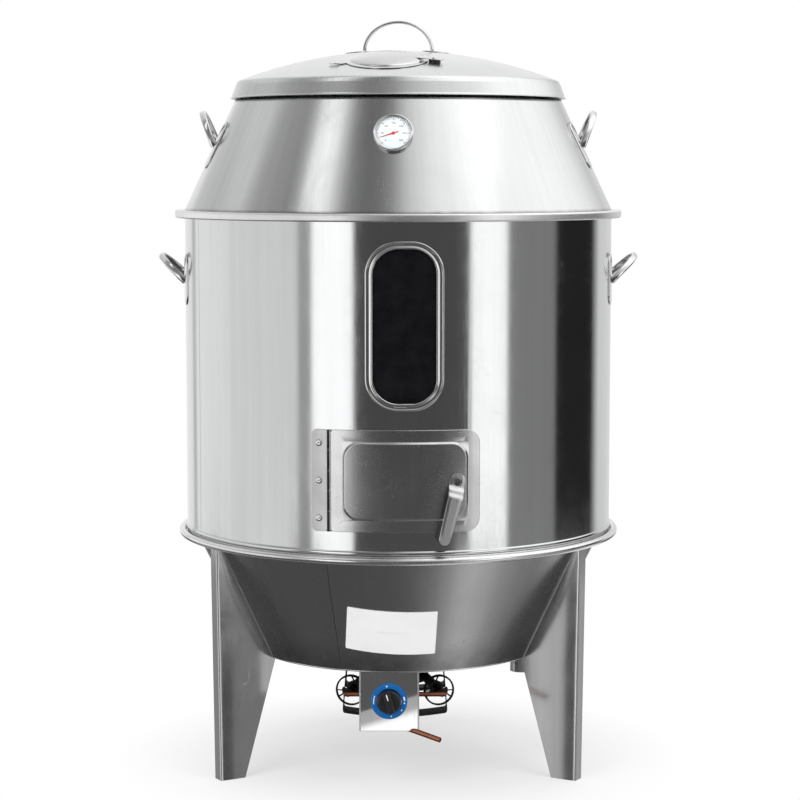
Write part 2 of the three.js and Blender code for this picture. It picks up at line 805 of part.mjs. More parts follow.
function latchLever() {
  const side = new THREE.Shape();
  side.moveTo(latchHeadReach, latchSeat);
  side.lineTo(latchHeadReach, latchSeat + latchSheet);
  side.lineTo(-latchBendStart, latchSeat + latchSheet);
  side.lineTo(-latchBendEnd, latchSeat + latchSheet + latchOffset);
  side.lineTo(-latchLength, latchSeat + latchSheet + latchOffset);
  side.lineTo(-latchLength, latchSeat + latchOffset);
  side.lineTo(-latchBendEnd, latchSeat + latchOffset);
  side.lineTo(-latchBendStart, latchSeat);
  const strip = slab(side, -latchStrapWidth, latchStrapWidth).applyMatrix4(sideways);
  const plan = new THREE.Shape();
  const [wide, narrow] = [latchStrapWidth / 2, latchTipWidth / 2];
  plan.absarc(0, 0, wide, 0, Math.PI, false);
  plan.lineTo(-narrow, -latchLength + narrow);
  plan.absarc(0, -latchLength + narrow, narrow, Math.PI, 2 * Math.PI, false);
  const trimmed = common(slab(plan, -overrun, 2 * overrun, tipSteps), strip);
  const hole = disc(latchShankRadius + seat, -overrun, overrun, smallSides);
  return cut(trimmed, hole).applyMatrix4(latchFrame());
}

function latchSpindle() {
  const headLow = latchSeat + latchSheet + seat;
  const shank = turned([
    [0, -latchTongueDepth],
    [latchShankRadius, -latchTongueDepth],
    [latchShankRadius, headLow],
    [latchBoltRadius + sheet, headLow],
    [latchBoltRadius, headLow + latchBoltHead],
    [0, headLow + latchBoltHead],
  ], smallSides);
  const outline = new THREE.Shape();
  const half = latchTongueWidth / 2;
  outline.absarc(0, 0, half, Math.PI, 2 * Math.PI, false);
  outline.lineTo(half, latchTongueLength);
  outline.lineTo(-half, latchTongueLength);
  const tongue = slab(outline, -latchTongueDepth, latchTongueThickness - latchTongueDepth)
    .rotateZ(latchTilt * rad);
  return join(shank, tongue).applyMatrix4(latchFrame());
}

// Strap handles. The strap arches over local x, and its two plates follow the wall.

function handleStrap(tilt, rise) {
  const across = handleSpan / 2;
  const half = handleStrapThickness / 2 - handleEdge / 2;
  const outline = new THREE.Shape();
  outline.moveTo(across + half, -handleRoot);
  outline.lineTo(across + half, 0);
  outline.absellipse(0, 0, across + half, rise - handleEdge / 2, 0, Math.PI, false, 0);
  outline.lineTo(-across - half, -handleRoot);
  outline.lineTo(-across + half, -handleRoot);
  outline.lineTo(-across + half, 0);
  outline.absellipse(0, 0, across - half, rise - handleStrapThickness + handleEdge / 2, Math.PI, 0, true, 0);
  outline.lineTo(across - half, -handleRoot);
  const strap = new THREE.ExtrudeGeometry(outline, {
    depth: handleStrapWidth - 2 * handleEdge,
    bevelThickness: handleEdge,
    bevelSize: handleEdge / 2,
    bevelSegments: 1,
    curveSegments: archSteps,
  });
  return strap.translate(0, 0, handleEdge - handleStrapWidth / 2).rotateX((quarterTurn - tilt) * rad);
}

function handlePads() {
  const outline = roundedOutline(padWidth, padHeight, padCorner);
  return [-1, 1].map((side) =>
    slab(outline, -overrun, overrun).translate(side * (handleSpan / 2 + padOffset), 0, 0));
}

// A handle is its strap and plates, trimmed where they rest on the wall
function handleOn(frame, tilt, reach, core, skin) {
  const plates = handlePads().map((pad) => common(skin, pad.applyMatrix4(frame)));
  return cut(join(handleStrap(tilt, reach).applyMatrix4(frame), ...plates), core);
}

function drumHandle(side) {
  const z = drumZ + drumHandleRise;
  const core = disc(drumRadius + seat, z - padHeight, z + padHeight, shellSides);
  const skin = sleeve(drumRadius, drumRadius + seat + padThickness, z - padHeight, z + padHeight);
  const frame = wallFrame(side * quarterTurn, 0, drumRadius, z);
  return handleOn(frame, handleTilt, handleReach, core, skin);
}

function coneHandle(side) {
  const z = coneZ + coneHandleRise;
  const [low, high] = [z - padHeight, z + padHeight];
  const shift = (grow, at) => coneRadiusAt(at) + grow * Math.hypot(1, coneSlope);
  const core = turned([[0, low], [shift(seat, low), low], [shift(seat, high), high], [0, high]]);
  const thick = seat + padThickness;
  const skin = turned([[0, low], [shift(thick, low), low], [shift(thick, high), high], [0, high]]);
  const frame = wallFrame(side * quarterTurn, coneLean, coneRadiusAt(z), z);
  return handleOn(frame, handleTilt, handleReach, core, skin);
}

// Points on the dome at a height above its surface, from the axis out to the given radius
function domeArc(height, radius) {
  const limit = Math.asin(radius / (domeRadius + height));
  const points = [];
  for (let i = 0; i <= domeSteps; i += 1) {
    const angle = (limit * i) / domeSteps;
    const reach = domeRadius + height;
    points.push([reach * Math.sin(angle), domeCentreZ + reach * Math.cos(angle)]);
  }
  points[0][0] = 0;
  return points;
}

function lidHandle() {
  const core = turned([...domeArc(seat, lidEdgeRadius), [0, shoulderZ]]);
  const skin = turned([...domeArc(seat + padThickness, lidEdgeRadius), [0, shoulderZ]]);
  const frame = new THREE.Matrix4().makeRotationZ(-lidHandleTurn * rad).setPosition(0, 0, lidTopZ);
  return handleOn(frame, 0, lidHandleReach, core, skin);
}

// Top cone, flange ring and thermometer

// The neck reaches up to the inside of the lid's shoulder
const shoulderInRadius = lidShoulderRadius - lidShoulderMid - sheet / 2;
const shoulderInZ = domeEdgeZ - lidShoulderMid - sheet / 2;
const domeInRadius = lidEdgeRadius - sheet / 2;
const domeInZ = domeCentreZ + Math.sqrt((domeRadius - sheet) ** 2 - domeInRadius ** 2);
const neckShare = (shoulderInRadius - neckRadius) / (shoulderInRadius - domeInRadius);
const neckTopZ = shoulderInZ + neckShare * (domeInZ - shoulderInZ) - seat;

function coneShell() {
  const wall = turned([
    [drumRadius, coneZ],
    [coneTopRadius, coneTopZ],
    [neckRadius, coneTopZ + neckStep],
    [neckRadius, neckTopZ],
    [neckRadius - sheet, neckTopZ],
    [neckRadius - sheet, coneTopZ + neckStep - sheet],
    [coneRadiusAt(coneTopZ - sheet) - coneWall, coneTopZ - sheet],
    [drumRadius - coneWall, coneZ],
  ]);
  const hole = disc(threadRadius + seat, -overrun, overrun, smallSides).applyMatrix4(gaugeFrame());
  return cut(wall, hole);
}

function coneFlange() {
  const top = coneZ - seat;
  const low = top - flangeDepth;
  return turned([
    [spigotRadius - sheet, top - spigotDepth],
    [spigotRadius, top - spigotDepth],
    [spigotRadius, top - sheet],
    [flangeRadius - sheet, top - sheet],
    [flangeRadius - sheet, low + sheet],
    [flangeRadius - flangeReturn, low + sheet],
    [flangeRadius - flangeReturn, low],
    [flangeRadius, low],
    [flangeRadius, top - sheet],
    [flangeRadius - sheet, top],
    [spigotRadius - sheet, top],
  ]);
}

const dialHeight = gaugeStand + gaugeBack + 2 * seat;

const gaugeFrame = () =>
  wallFrame(gaugeTurn, coneLean, coneRadiusAt(coneZ + gaugeRise), coneZ + gaugeRise);

const gaugeCase = () => turned([
  [threadRadius + seat, gaugeStand],
  [gaugeRadius - gaugeWall, gaugeStand],
  [gaugeRadius, gaugeStand + gaugeWall],
  [gaugeRadius, gaugeDepth - gaugeWall],
  [gaugeRadius - gaugeWall, gaugeDepth],
  [gaugeRadius - gaugeLip + gaugeWall, gaugeDepth],
  [gaugeRadius - gaugeLip, gaugeDepth - gaugeWall],
  [gaugeRadius - gaugeWall, gaugeDepth - gaugeWall],
  [gaugeRadius - gaugeWall, gaugeStand + gaugeBack],
  [threadRadius + seat, gaugeStand + gaugeBack],
], roundSides).applyMatrix4(gaugeFrame());

const gaugeDial = () => sleeve(
  spindleRadius + seat, gaugeRadius - gaugeWall - seat, dialHeight, dialHeight + dialThickness, roundSides,
).applyMatrix4(gaugeFrame());

const gaugeLens = () => disc(
  gaugeRadius - gaugeWall - seat,
  gaugeDepth - gaugeWall - seat - lensThickness, gaugeDepth - gaugeWall - seat, roundSides,
).applyMatrix4(gaugeFrame());

function gaugeNeedle() {
  const low = dialHeight + dialThickness + seat;
  const outline = new THREE.Shape();
  outline.moveTo(-needleTail, -needleWidth / 2);
  outline.lineTo(0, -needleWidth);
  outline.lineTo(needleLength, -needleWidth / 8);
  outline.lineTo(needleLength, needleWidth / 8);
  outline.lineTo(0, needleWidth);
  outline.lineTo(-needleTail, needleWidth / 2);
  const blade = slab(outline, low, low + needleThickness);
  const hub = disc(needleHub, low, low + needleThickness, smallSides);
  return join(blade, hub).rotateZ(needleTurn * rad).applyMatrix4(gaugeFrame());
}

const gaugeProbe = () => turned([
  [0, -probeLength],
  [probeRadius, -probeLength],
  [probeRadius, -threadLength],
  [threadRadius, -threadLength],
  [threadRadius, -sheet - nutDrop - nutThickness],
  [nutRadius, -sheet - nutDrop - nutThickness],
  [nutRadius, -sheet - nutDrop],
  [threadRadius, -sheet - nutDrop],
  [threadRadius, gaugeStand + gaugeBack + seat],
  [spindleRadius, gaugeStand + gaugeBack + seat],
  [spindleRadius, dialHeight + dialThickness],
  [0, dialHeight + dialThickness],
], smallSides).applyMatrix4(gaugeFrame());

// Lid, vent cover and its pivot

function lidShell() {
  const outside = domeArc(0, lidEdgeRadius);
  const inside = domeArc(-sheet, domeInRadius).reverse();
  const wall = turned([
    ...outside,
    [lidShoulderRadius - lidShoulderMid / 2, domeEdgeZ - lidShoulderMid],
    [lidShoulderRadius, shoulderZ],
    [lidSkirtRadius, lidZ + sheet],
    [lidLipRadius, lidZ + sheet],
    [lidLipRadius, lidZ],
    [lidSkirtRadius - sheet, lidZ],
    [lidShoulderRadius - sheet, shoulderZ],
    [shoulderInRadius, shoulderInZ],
    ...inside,
  ]);
  const vent = disc(ventHoleRadius, domeRadius - 2 * overrun, domeRadius + overrun, roundSides)
    .applyMatrix4(domeFrame(ventX, ventY));
  const rivet = disc(rivetShankRadius + seat, domeRadius - 2 * overrun, domeRadius + overrun, tinySides)
    .applyMatrix4(ventPivotFrame());
  return cut(wall, vent, rivet);
}

const ventPivotFrame = () => domeFrame(ventX, ventY)
  .multiply(new THREE.Matrix4().makeRotationZ(ventPivotTurn * rad))
  .multiply(new THREE.Matrix4().makeRotationY(ventPivotReach / domeRadius));

// Wraps a flat piece, laid out around the origin with its height along z, over the dome
function wrapOnDome(geometry) {
  const places = geometry.attributes.position;
  for (let i = 0; i < places.count; i += 1) {
    const [x, y, height] = [places.getX(i), places.getY(i), places.getZ(i)];
    const reach = Math.hypot(x, y);
    const angle = reach / domeRadius;
    const out = reach > 0 ? ((domeRadius + height) * Math.sin(angle)) / reach : 0;
    places.setXYZ(i, x * out, y * out, (domeRadius + height) * Math.cos(angle));
  }
  return geometry;
}

function tabOutline(from, to) {
  const half = ventTabWidth / 2;
  const outline = new THREE.Shape();
  outline.moveTo(from, -half);
  outline.lineTo(to - half, -half);
  outline.absarc(to - half, 0, half, -Math.PI / 2, Math.PI / 2, false);
  outline.lineTo(from, half);
  return outline;
}

function ventCover() {
  const [low, high] = [ventFloat, ventFloat + ventSheet];
  const outside = ventCrownShares.map(([r, h]) => [ventCrownRadius * r, high + ventCrownRise * h]);
  const inside = ventCrownShares.map(([r, h]) => [(ventCrownRadius - ventSheet) * r, low + ventCrownRise * h]);
  const dish = turned([...outside.reverse(), [ventRadius, high], [ventRadius, low], ...inside], roundSides);
  const tab = slab(tabOutline(ventRadius - ventSheet, ventTabReach), low, high).rotateZ(ventTabTurn * rad);
  const armLow = ventFloat + spacerHeight;
  const arm = slab(tabOutline(ventArmRoot, ventArmReach), armLow, armLow + ventSheet)
    .rotateZ(ventPivotTurn * rad);
  const hole = disc(rivetShankRadius + seat, -overrun, overrun, tinySides)
    .translate(ventPivotReach, 0, 0).rotateZ(ventPivotTurn * rad);
  return wrapOnDome(cut(join(dish, tab, arm), hole)).applyMatrix4(domeFrame(ventX, ventY));
}

const ventSpacer = () => sleeve(
  rivetShankRadius + seat, spacerRadius,
  domeRadius + seat, domeRadius + spacerHeight + seat / 2, smallSides,
).applyMatrix4(ventPivotFrame());

function ventRivet() {
  const top = domeRadius + ventFloat + spacerHeight + ventSheet + seat;
  const bottom = domeRadius - sheet - 2 * seat;
  return turned([
    [0, bottom - rivetHeadHeight],
    [rivetHeadRadius, bottom - rivetHeadHeight],
    [rivetHeadRadius, bottom],
    [rivetShankRadius, bottom],
    [rivetShankRadius, top],
    [rivetHeadRadius, top],
    [rivetHeadRadius * rivetCrownShare, top + rivetHeadHeight * rivetSideShare],
    [0, top + rivetHeadHeight],
  ], tinySides).applyMatrix4(ventPivotFrame());
}

// Hanging rack inside the cone

const rackZ = coneTopZ - rackDrop;

function rackHook(turn) {
  const path = new THREE.CurvePath();
  const start = new THREE.Vector3(rackRadius, 0, rackZ);
  const bottom = new THREE.Vector3(rackRadius, 0, rackZ - hookDrop);
  const far = new THREE.Vector3(rackRadius - 2 * hookBend, 0, rackZ - hookDrop);
  const down = new THREE.Vector3(0, 0, -(4 / 3) * hookBend);
  path.add(new THREE.LineCurve3(start, bottom));
  path.add(new THREE.CubicBezierCurve3(bottom, bottom.clone().add(down), far.clone().add(down), far));
  path.add(new THREE.LineCurve3(far, far.clone().add(new THREE.Vector3(0, 0, hookTip))));
  const section = new THREE.Shape();
  section.absarc(0, 0, hookRod, 0, 2 * Math.PI, false);
  const rod = new THREE.ExtrudeGeometry(section, {
    steps: hookSteps, curveSegments: cornerSteps, extrudePath: path,
  });
  return rod.rotateZ(turn * rad);
}

function hangingRack() {
  const rodProfile = [];
  for (let i = 0; i < beadSides; i += 1) {
    const angle = (i / beadSides) * 2 * Math.PI;
    rodProfile.push([rackRadius + rackRod * Math.cos(angle), rackZ + rackRod * Math.sin(angle)]);
  }
  const ring = turned(rodProfile, roundSides);
  const half = rackBarWidth / 2;
  const flat = rackBarThickness / 2;
  const bars = [0, quarterTurn].map((turn) =>
    block(-rackRadius, rackRadius, -half, half, rackZ - flat, rackZ + flat).rotateZ(turn * rad));
  const eyeProfile = [];
  for (let i = 0; i < beadSides; i += 1) {
    const angle = (i / beadSides) * 2 * Math.PI;
    eyeProfile.push([
      rackEyeRadius + rackEyeRod * Math.cos(angle),
      rackZ + flat + rackEyeRod * Math.sin(angle),
    ]);
  }
  const hooks = [0, 1, 2, 3, 4, 5].map((i) => rackHook(i * (legTurn / 2) + hookTurn));
  return join(ring, ...bars, turned(eyeProfile, smallSides), ...hooks);
}

const rackSeatZ = rackZ - rackRod * Math.sin(60 * rad) - seat;

// Welded to the cone's inside, with a plate against the wall and a shelf for the rack
function rackBracket(turn) {
  const wallRadius = coneRadiusAt(rackSeatZ) - coneWall - seat * Math.hypot(1, coneSlope);
  const half = bracketWidth / 2;
  const side = new THREE.Shape();
  side.moveTo(bracketReach, rackSeatZ - bracketThickness);
  side.lineTo(wallRadius - bracketThickness, rackSeatZ - bracketThickness);
  side.lineTo(wallRadius + bracketPlate * coneSlope - bracketThickness, rackSeatZ - bracketPlate);
  side.lineTo(wallRadius + bracketPlate * coneSlope, rackSeatZ - bracketPlate);
  side.lineTo(wallRadius, rackSeatZ);
  side.lineTo(bracketReach, rackSeatZ);
  const bracket = slab(side, -half, half).rotateX(Math.PI / 2);
  const room = turned([
    [0, coneZ],
    [drumRadius - coneWall - seat * Math.hypot(1, coneSlope), coneZ],
    [coneTopRadius - coneWall - seat * Math.hypot(1, coneSlope), coneTopZ],
    [0, coneTopZ],
  ]);
  return common(bracket.rotateZ(turn * rad), room);
}

// Burner, its cradle, mixer tubes, shutters and nozzles

const burnerTopZ = burnerBottomZ + burnerBodyHeight + burnerRimHeight;

function burnerHead() {
  const rimZ = burnerBottomZ + burnerBodyHeight;
  const lidLow = burnerTopZ - burnerLidHeight;
  return turned([
    [0, cradleBottomZ + cradleSheet + seat],
    [burnerBossRadius, cradleBottomZ + cradleSheet + seat],
    [burnerBossRadius, burnerBottomZ],
    [burnerBodyRadius, burnerBottomZ],
    [burnerBodyRadius, rimZ],
    [burnerRimRadius, rimZ],
    [burnerRimRadius, burnerTopZ],
    [burnerSlotOut, burnerTopZ],
    [burnerSlotOut, lidLow],
    [burnerBodyRadius - burnerWall, rimZ - burnerWall],
    [burnerBodyRadius - burnerWall, burnerBottomZ + burnerWall],
    [burnerBossRadius, burnerBottomZ + burnerWall],
    [burnerBossRadius, lidLow],
    [burnerSlotIn, lidLow],
    [burnerSlotIn, burnerTopZ],
    [burnerCrownOut, burnerTopZ],
    [burnerCrownOut, burnerTopZ + burnerCrownHeight],
    [burnerCrownIn, burnerTopZ + burnerCrownHeight],
    [burnerCrownIn, burnerTopZ],
    [0, burnerTopZ],
  ], roundSides).translate(burnerX, 0, 0);
}

function cradleBand(y) {
  const top = floorZ - seat;
  const t = cradleSheet;
  const shape = new THREE.Shape();
  const [wide, half, corner] = [cradleTopHalf, cradleBottomHalf, cradleCorner];
  const [middle, low] = [cradleBottomZ - cradleSag, cradleBottomZ + cradleSag];
  shape.moveTo(-wide - cradleFlange, top);
  shape.lineTo(-wide - cradleFlange, top - t);
  shape.lineTo(-wide, top - t);
  shape.lineTo(-half, low + corner);
  shape.quadraticCurveTo(-half, low, -half + corner, low);
  shape.quadraticCurveTo(0, middle, half - corner, low);
  shape.quadraticCurveTo(half, low, half, low + corner);
  shape.lineTo(wide, top - t);
  shape.lineTo(wide + cradleFlange, top - t);
  shape.lineTo(wide + cradleFlange, top);
  shape.lineTo(wide - t, top);
  shape.lineTo(half - t, low + corner);
  shape.quadraticCurveTo(half - t, low + t, half - corner, low + t);
  shape.quadraticCurveTo(0, middle + t, -half + corner, low + t);
  shape.quadraticCurveTo(-half + t, low + t, -half + t, low + corner);
  shape.lineTo(-wide + t, top);
  const band = slab(shape, -cradleStrap / 2, cradleStrap / 2, arcSteps).rotateX(Math.PI / 2);
  return band.translate(burnerX, y, 0);
}

function burnerCradle() {
  const rail = block(
    burnerX - cradleRailHalf, burnerX + cradleRailHalf,
    -cradlePlace, cradlePlace,
    cradleBottomZ, cradleBottomZ + cradleSheet,
  );
  return join(cradleBand(-cradlePlace), cradleBand(cradlePlace), rail);
}

// The frame of a mixer's mouth: local z runs forward, out of the mouth
function mouthFrame(side) {
  return new THREE.Matrix4()
    .makeTranslation(burnerX + side * mixerMouthX, mixerMouthY, mixerZ)
    .multiply(new THREE.Matrix4().makeRotationZ(side * mixerTurnIn * rad))
    .multiply(new THREE.Matrix4().makeRotationX(Math.PI / 2));
}

// Ring, hub and two vanes, as the mouth and its shutter both have
function mouthPlate(ringIn, ringOut, low, high) {
  const ring = sleeve(ringIn, ringOut, low, high, smallSides);
  const hub = disc(shutterHub, low, high, smallSides);
  const vanes = [0, halfTurn].map((turn) => {
    const outline = new THREE.Shape();
    const [reach, half] = [(ringIn + ringOut) / 2, (shutterVane / 2) * rad];
    outline.moveTo(0, 0);
    outline.lineTo(reach * Math.cos(half), -reach * Math.sin(half));
    outline.absarc(0, 0, reach, -half, half, false);
    return slab(outline, low, high, arcSteps).rotateZ(turn * rad);
  });
  return cut(join(ring, hub, ...vanes), disc(shutterBore, low - overrun, high + overrun, smallSides));
}

// Open ribs carry the mouth's ring ahead of the narrow tube
function mixerRib(turn) {
  const [outer, inner] = [mixerMouthRadius - mixerWall / 2, mixerThroatRadius - mixerWall / 2];
  const outline = new THREE.Shape();
  outline.moveTo(outer, 0);
  outline.lineTo(outer, mixerRingDepth);
  outline.lineTo(inner, mixerBellLength + mixerRingDepth);
  outline.lineTo(inner, mixerBellLength);
  return slab(outline, -mixerWall / 2, mixerWall / 2).rotateX(-Math.PI / 2).rotateZ(turn * rad);
}

function mixerTube(side) {
  const ringIn = mixerMouthRadius - mixerWall;
  const ring = sleeve(ringIn, mixerMouthRadius, -mixerRingDepth, 0, smallSides);
  const plate = mouthPlate(ringIn, mixerMouthRadius, -shutterThickness, 0);
  const throat = sleeve(
    mixerThroatRadius - mixerWall, mixerThroatRadius, -mixerLength, -mixerBellLength, smallSides,
  );
  const whole = join(ring, plate, throat, ...mixerRibTurns.map(mixerRib)).applyMatrix4(mouthFrame(side));
  return cut(whole, disc(burnerBodyRadius + seat, cradleBottomZ, floorZ, roundSides).translate(burnerX, 0, 0));
}

function airShutter(side) {
  const outer = mixerMouthRadius - mixerWall / 2;
  return mouthPlate(outer - shutterRing, outer, seat, seat + shutterThickness).applyMatrix4(mouthFrame(side));
}

const nozzleOut = (side) => new THREE.Vector3(0, 0, nozzleLength).applyMatrix4(mouthFrame(side));

const gasNozzle = (side) => turned([
  [0, -mixerWall],
  [nozzleRadius / 2, -mixerWall],
  [nozzleRadius, seat],
  [nozzleRadius, shutterThickness + 3 * seat],
  [nozzleHexRadius, shutterThickness + 3 * seat],
  [nozzleHexRadius, nozzleLength],
  [0, nozzleLength],
], tinySides).applyMatrix4(mouthFrame(side));

// Control box, valve, knob and pipes

const boxTopZ = standHeight - seat;
const boxBottomZ = boxTopZ - boxHeight;
const knobZ = boxBottomZ + knobRise;
const boxFrame = () => wallFrame(0, 0, -boxFrontY, knobZ)
  .multiply(new THREE.Matrix4().makeTranslation(boxCentreX, 0, 0));
const valveY = boxFrontY + sheet + seat + valveBossLength;
const valveBackY = valveY + valveDepth;

function controlBox() {
  const [left, right] = [boxCentreX - boxWidth / 2, boxCentreX + boxWidth / 2];
  const back = boxFrontY + boxDepth;
  const shell = cut(
    block(left, right, boxFrontY, back, boxBottomZ, boxTopZ),
    block(
      left + sheet, right - sheet,
      boxFrontY + sheet, back + overrun,
      boxBottomZ + sheet, boxTopZ - sheet,
    ),
  );
  const stem = disc(stemRadius + stemSlack, -overrun, overrun, smallSides).applyMatrix4(boxFrame());
  const inlet = disc(inletRadius + seat, -overrun, overrun, smallSides)
    .translate(inletX, valveY + valveDepth / 2, boxBottomZ);
  return cut(shell, stem, inlet);
}

const knobBezel = () => turned([
  [knobBezelBore, seat],
  [knobBezelRadius, seat],
  [knobBezelRadius, seat + knobBezelThickness / 2],
  [knobBezelRadius - knobBezelThickness / 2, seat + knobBezelThickness],
  [knobBezelBore, seat + knobBezelThickness],
], roundSides).applyMatrix4(boxFrame());

function controlKnob() {
  const low = knobStandOff;
  const top = low + knobSkirt;
  const body = turned([
    [0, low],
    [knobRadius, low],
    [knobRadius, top - knobSkirt / 4],
    [knobRadius - knobSkirt / 4, top],
    [0, top],
  ], roundSides);
  const half = knobGripWidth / 2;
  const grip = slab(
    roundedOutline(knobGripWidth, 2 * (knobRadius - knobSkirt / 4), half),
    top - knobSkirt / 2,
    top + knobGripHeight,
  );
  const bore = disc(stemRadius + stemSlack, low - overrun, low + knobBoreDepth, smallSides);
  return cut(join(body, grip), bore).applyMatrix4(boxFrame());
}

const valveStem = () => disc(
  stemRadius,
  -(sheet + seat + valveBossLength + valveDepth / 3),
  knobStandOff + knobBoreDepth - seat,
  smallSides,
).applyMatrix4(boxFrame());

function gasValve() {
  const half = valveSize / 2;
  const body = block(boxCentreX - half, boxCentreX + half, valveY, valveBackY, knobZ - half, knobZ + half);
  const bossRoot = sheet + seat + valveBossLength + valveDepth / 4;
  const boss = disc(valveBossRadius, -bossRoot, -(sheet + seat), smallSides).applyMatrix4(boxFrame());
  const bore = disc(stemRadius + stemSlack, -(sheet + valveBossLength + valveDepth / 2), 0, smallSides)
    .applyMatrix4(boxFrame());
  return cut(join(body, boss), bore);
}

function roundSection(radius, bore = 0) {
  const section = new THREE.Shape();
  section.absarc(0, 0, radius, 0, 2 * Math.PI, false);
  if (bore > 0) {
    const hole = new THREE.Path();
    hole.absarc(0, 0, bore, 0, 2 * Math.PI, false);
    section.holes.push(hole);
  }
  return section;
}

// Path of straight runs with rounded corners
function pipePath(points, bend) {
  const path = new THREE.CurvePath();
  let from = points[0];
  for (let i = 1; i < points.length - 1; i += 1) {
    const corner = points[i];
    const before = corner.clone().add(points[i - 1].clone().sub(corner).setLength(bend));
    const after = corner.clone().add(points[i + 1].clone().sub(corner).setLength(bend));
    path.add(new THREE.LineCurve3(from, before));
    path.add(new THREE.QuadraticBezierCurve3(before, corner, after));
    from = after;
  }
  path.add(new THREE.LineCurve3(from, points[points.length - 1]));
  return path;
}

const pipe = (points, radius, bore, bend, steps) => new THREE.ExtrudeGeometry(
  roundSection(radius, bore), { steps, curveSegments: arcSteps, extrudePath: pipePath(points, bend) },
);

function gasManifold() {
  const ends = [-1, 1].map((side) => nozzleOut(side));
  const y = manifoldY;
  const bar = disc(manifoldRadius, ends[0].x - nozzleHexRadius, ends[1].x + nozzleHexRadius, tinySides)
    .rotateY(Math.PI / 2).translate(0, y, mixerZ);
  const stubs = ends.map((end) =>
    disc(manifoldRadius, y - manifoldRadius / 2, end.y - seat - nozzleHexRadius / 4, tinySides)
      .rotateX(-Math.PI / 2).translate(end.x, 0, mixerZ));
  const tee = disc(manifoldRadius, valveBackY + seat, y, tinySides)
    .rotateX(-Math.PI / 2).translate(boxCentreX, 0, mixerZ);
  return join(bar, ...stubs, tee);
}

function gasInlet() {
  const startX = boxCentreX + valveSize / 2 + seat;
  const y = valveY + valveDepth / 2;
  const points = [
    new THREE.Vector3(startX, y, knobZ),
    new THREE.Vector3(inletX, y, knobZ),
    new THREE.Vector3(inletX, y, inletZ),
    new THREE.Vector3(inletEndX, inletEndY, inletEndZ),
  ];
  return pipe(points, inletRadius, inletBore, inletBend, pipeSteps);
}

// Blank plate on the front of the bowl
function blankPlate() {
  const z = standHeight + plateRise;
  const lean = -Math.atan(bowlSlope) / rad;
  const frame = wallFrame(plateTurn, lean, bowlRadiusAt(z), z);
  const ring = (grow) => (at) => bowlRadiusAt(at) + grow * Math.hypot(1, bowlSlope);
  const [inner, outer] = [ring(seat), ring(seat + plateThickness)];
  const [low, high] = [z - plateHeight, z + plateHeight];
  const skin = turned([[inner(low), low], [outer(low), low], [outer(high), high], [inner(high), high]]);
  const outline = roundedOutline(plateWidth, plateHeight, plateThickness * 4);
  return common(skin, slab(outline, -drumRadius / 2, overrun).applyMatrix4(frame));
}

// Finishes
const steel = { color: 0xb9bcbf, roughness: 0.24, metalness: 1 };
const brightSteel = { color: 0xd3d5d7, roughness: 0.14, metalness: 1 };
const innerSteel = { color: 0x8f9294, roughness: 0.4, metalness: 1 };
const castIron = { color: 0x1c1c1d, roughness: 0.75, metalness: 0.6 };
const brass = { color: 0xb58a4a, roughness: 0.35, metalness: 1 };
const copper = { color: 0xb87350, roughness: 0.3, metalness: 1 };
const blackPlastic = { color: 0x121214, roughness: 0.45, metalness: 0 };
const bluePlastic = { color: 0x1e5f9e, roughness: 0.4, metalness: 0 };
const darkGlass = { color: 0x0b0c0e, roughness: 0.05, metalness: 0 };
const clearGlass = { color: 0xe8eef0, roughness: 0.05, metalness: 0 };
const dialWhite = { color: 0xe9e9e4, roughness: 0.6, metalness: 0 };
const needleRed = { color: 0xc0202a, roughness: 0.5, metalness: 0 };
const whitePaint = { color: 0xf0f0ee, roughness: 0.6, metalness: 0 };

const group = new THREE.Group();

function add(name, geometry, finish) {
  const mesh = new THREE.Mesh(geometry, new THREE.MeshStandardMaterial(finish));
  mesh.name = name;
  group.add(mesh);
}

add('base_bowl', baseBowl(), steel);
add('base_rim_bead', rimBead(), brightSteel);
add('basin_floor', basinFloor(), innerSteel);
add('grease_spout', greaseSpout(), steel);
add('burner_shield', burnerShield(), innerSteel);
['right', 'left', 'rear'].forEach((place, i) => {
  add(`leg_${place}`, leg([legFirstTurn, -legFirstTurn, halfTurn][i]), steel);
});
add('blank_plate', blankPlate(), whitePaint);

add('burner_head', burnerHead(), castIron);
add('burner_cradle', burnerCradle(), castIron);
[['left', -1], ['right', 1]].forEach(([place, side]) => {
  add(`mixer_tube_${place}`, mixerTube(side), castIron);
  add(`air_shutter_${place}`, airShutter(side), steel);
  add(`gas_nozzle_${place}`, gasNozzle(side), brass);
});
add('gas_manifold', gasManifold(), brass);
add('gas_valve', gasValve(), brass);
add('gas_inlet_tube', gasInlet(), copper);
add('control_box', controlBox(), brightSteel);
add('knob_bezel', knobBezel(), bluePlastic);
add('valve_stem', valveStem(), brass);
add('control_knob', controlKnob(), blackPlastic);

add('drum_shell', drumShell(), steel);
add('drum_liner', drumLiner(), innerSteel);
add('window_bezel', windowBezel(), brightSteel);
add('window_glass', windowGlass(), darkGlass);
add('window_tunnel', windowTunnel(), innerSteel);
add('door_tunnel', doorTunnel(), innerSteel);
add('door_hinge_leaf', hingeLeaf(), steel);
add('door_hinge_pin', hingePin(), brightSteel);
['lower', 'middle', 'upper'].forEach((place, i) => {
  add(`hinge_rivet_${place}`, hingeRivet(i - 1), brightSteel);
});
add('fire_door', fireDoor(), steel);
add('door_heat_pan', doorPan(), innerSteel);
add('latch_lever', latchLever(), steel);
add('latch_spindle', latchSpindle(), brightSteel);
add('drum_handle_right', drumHandle(1), brightSteel);
add('drum_handle_left', drumHandle(-1), brightSteel);

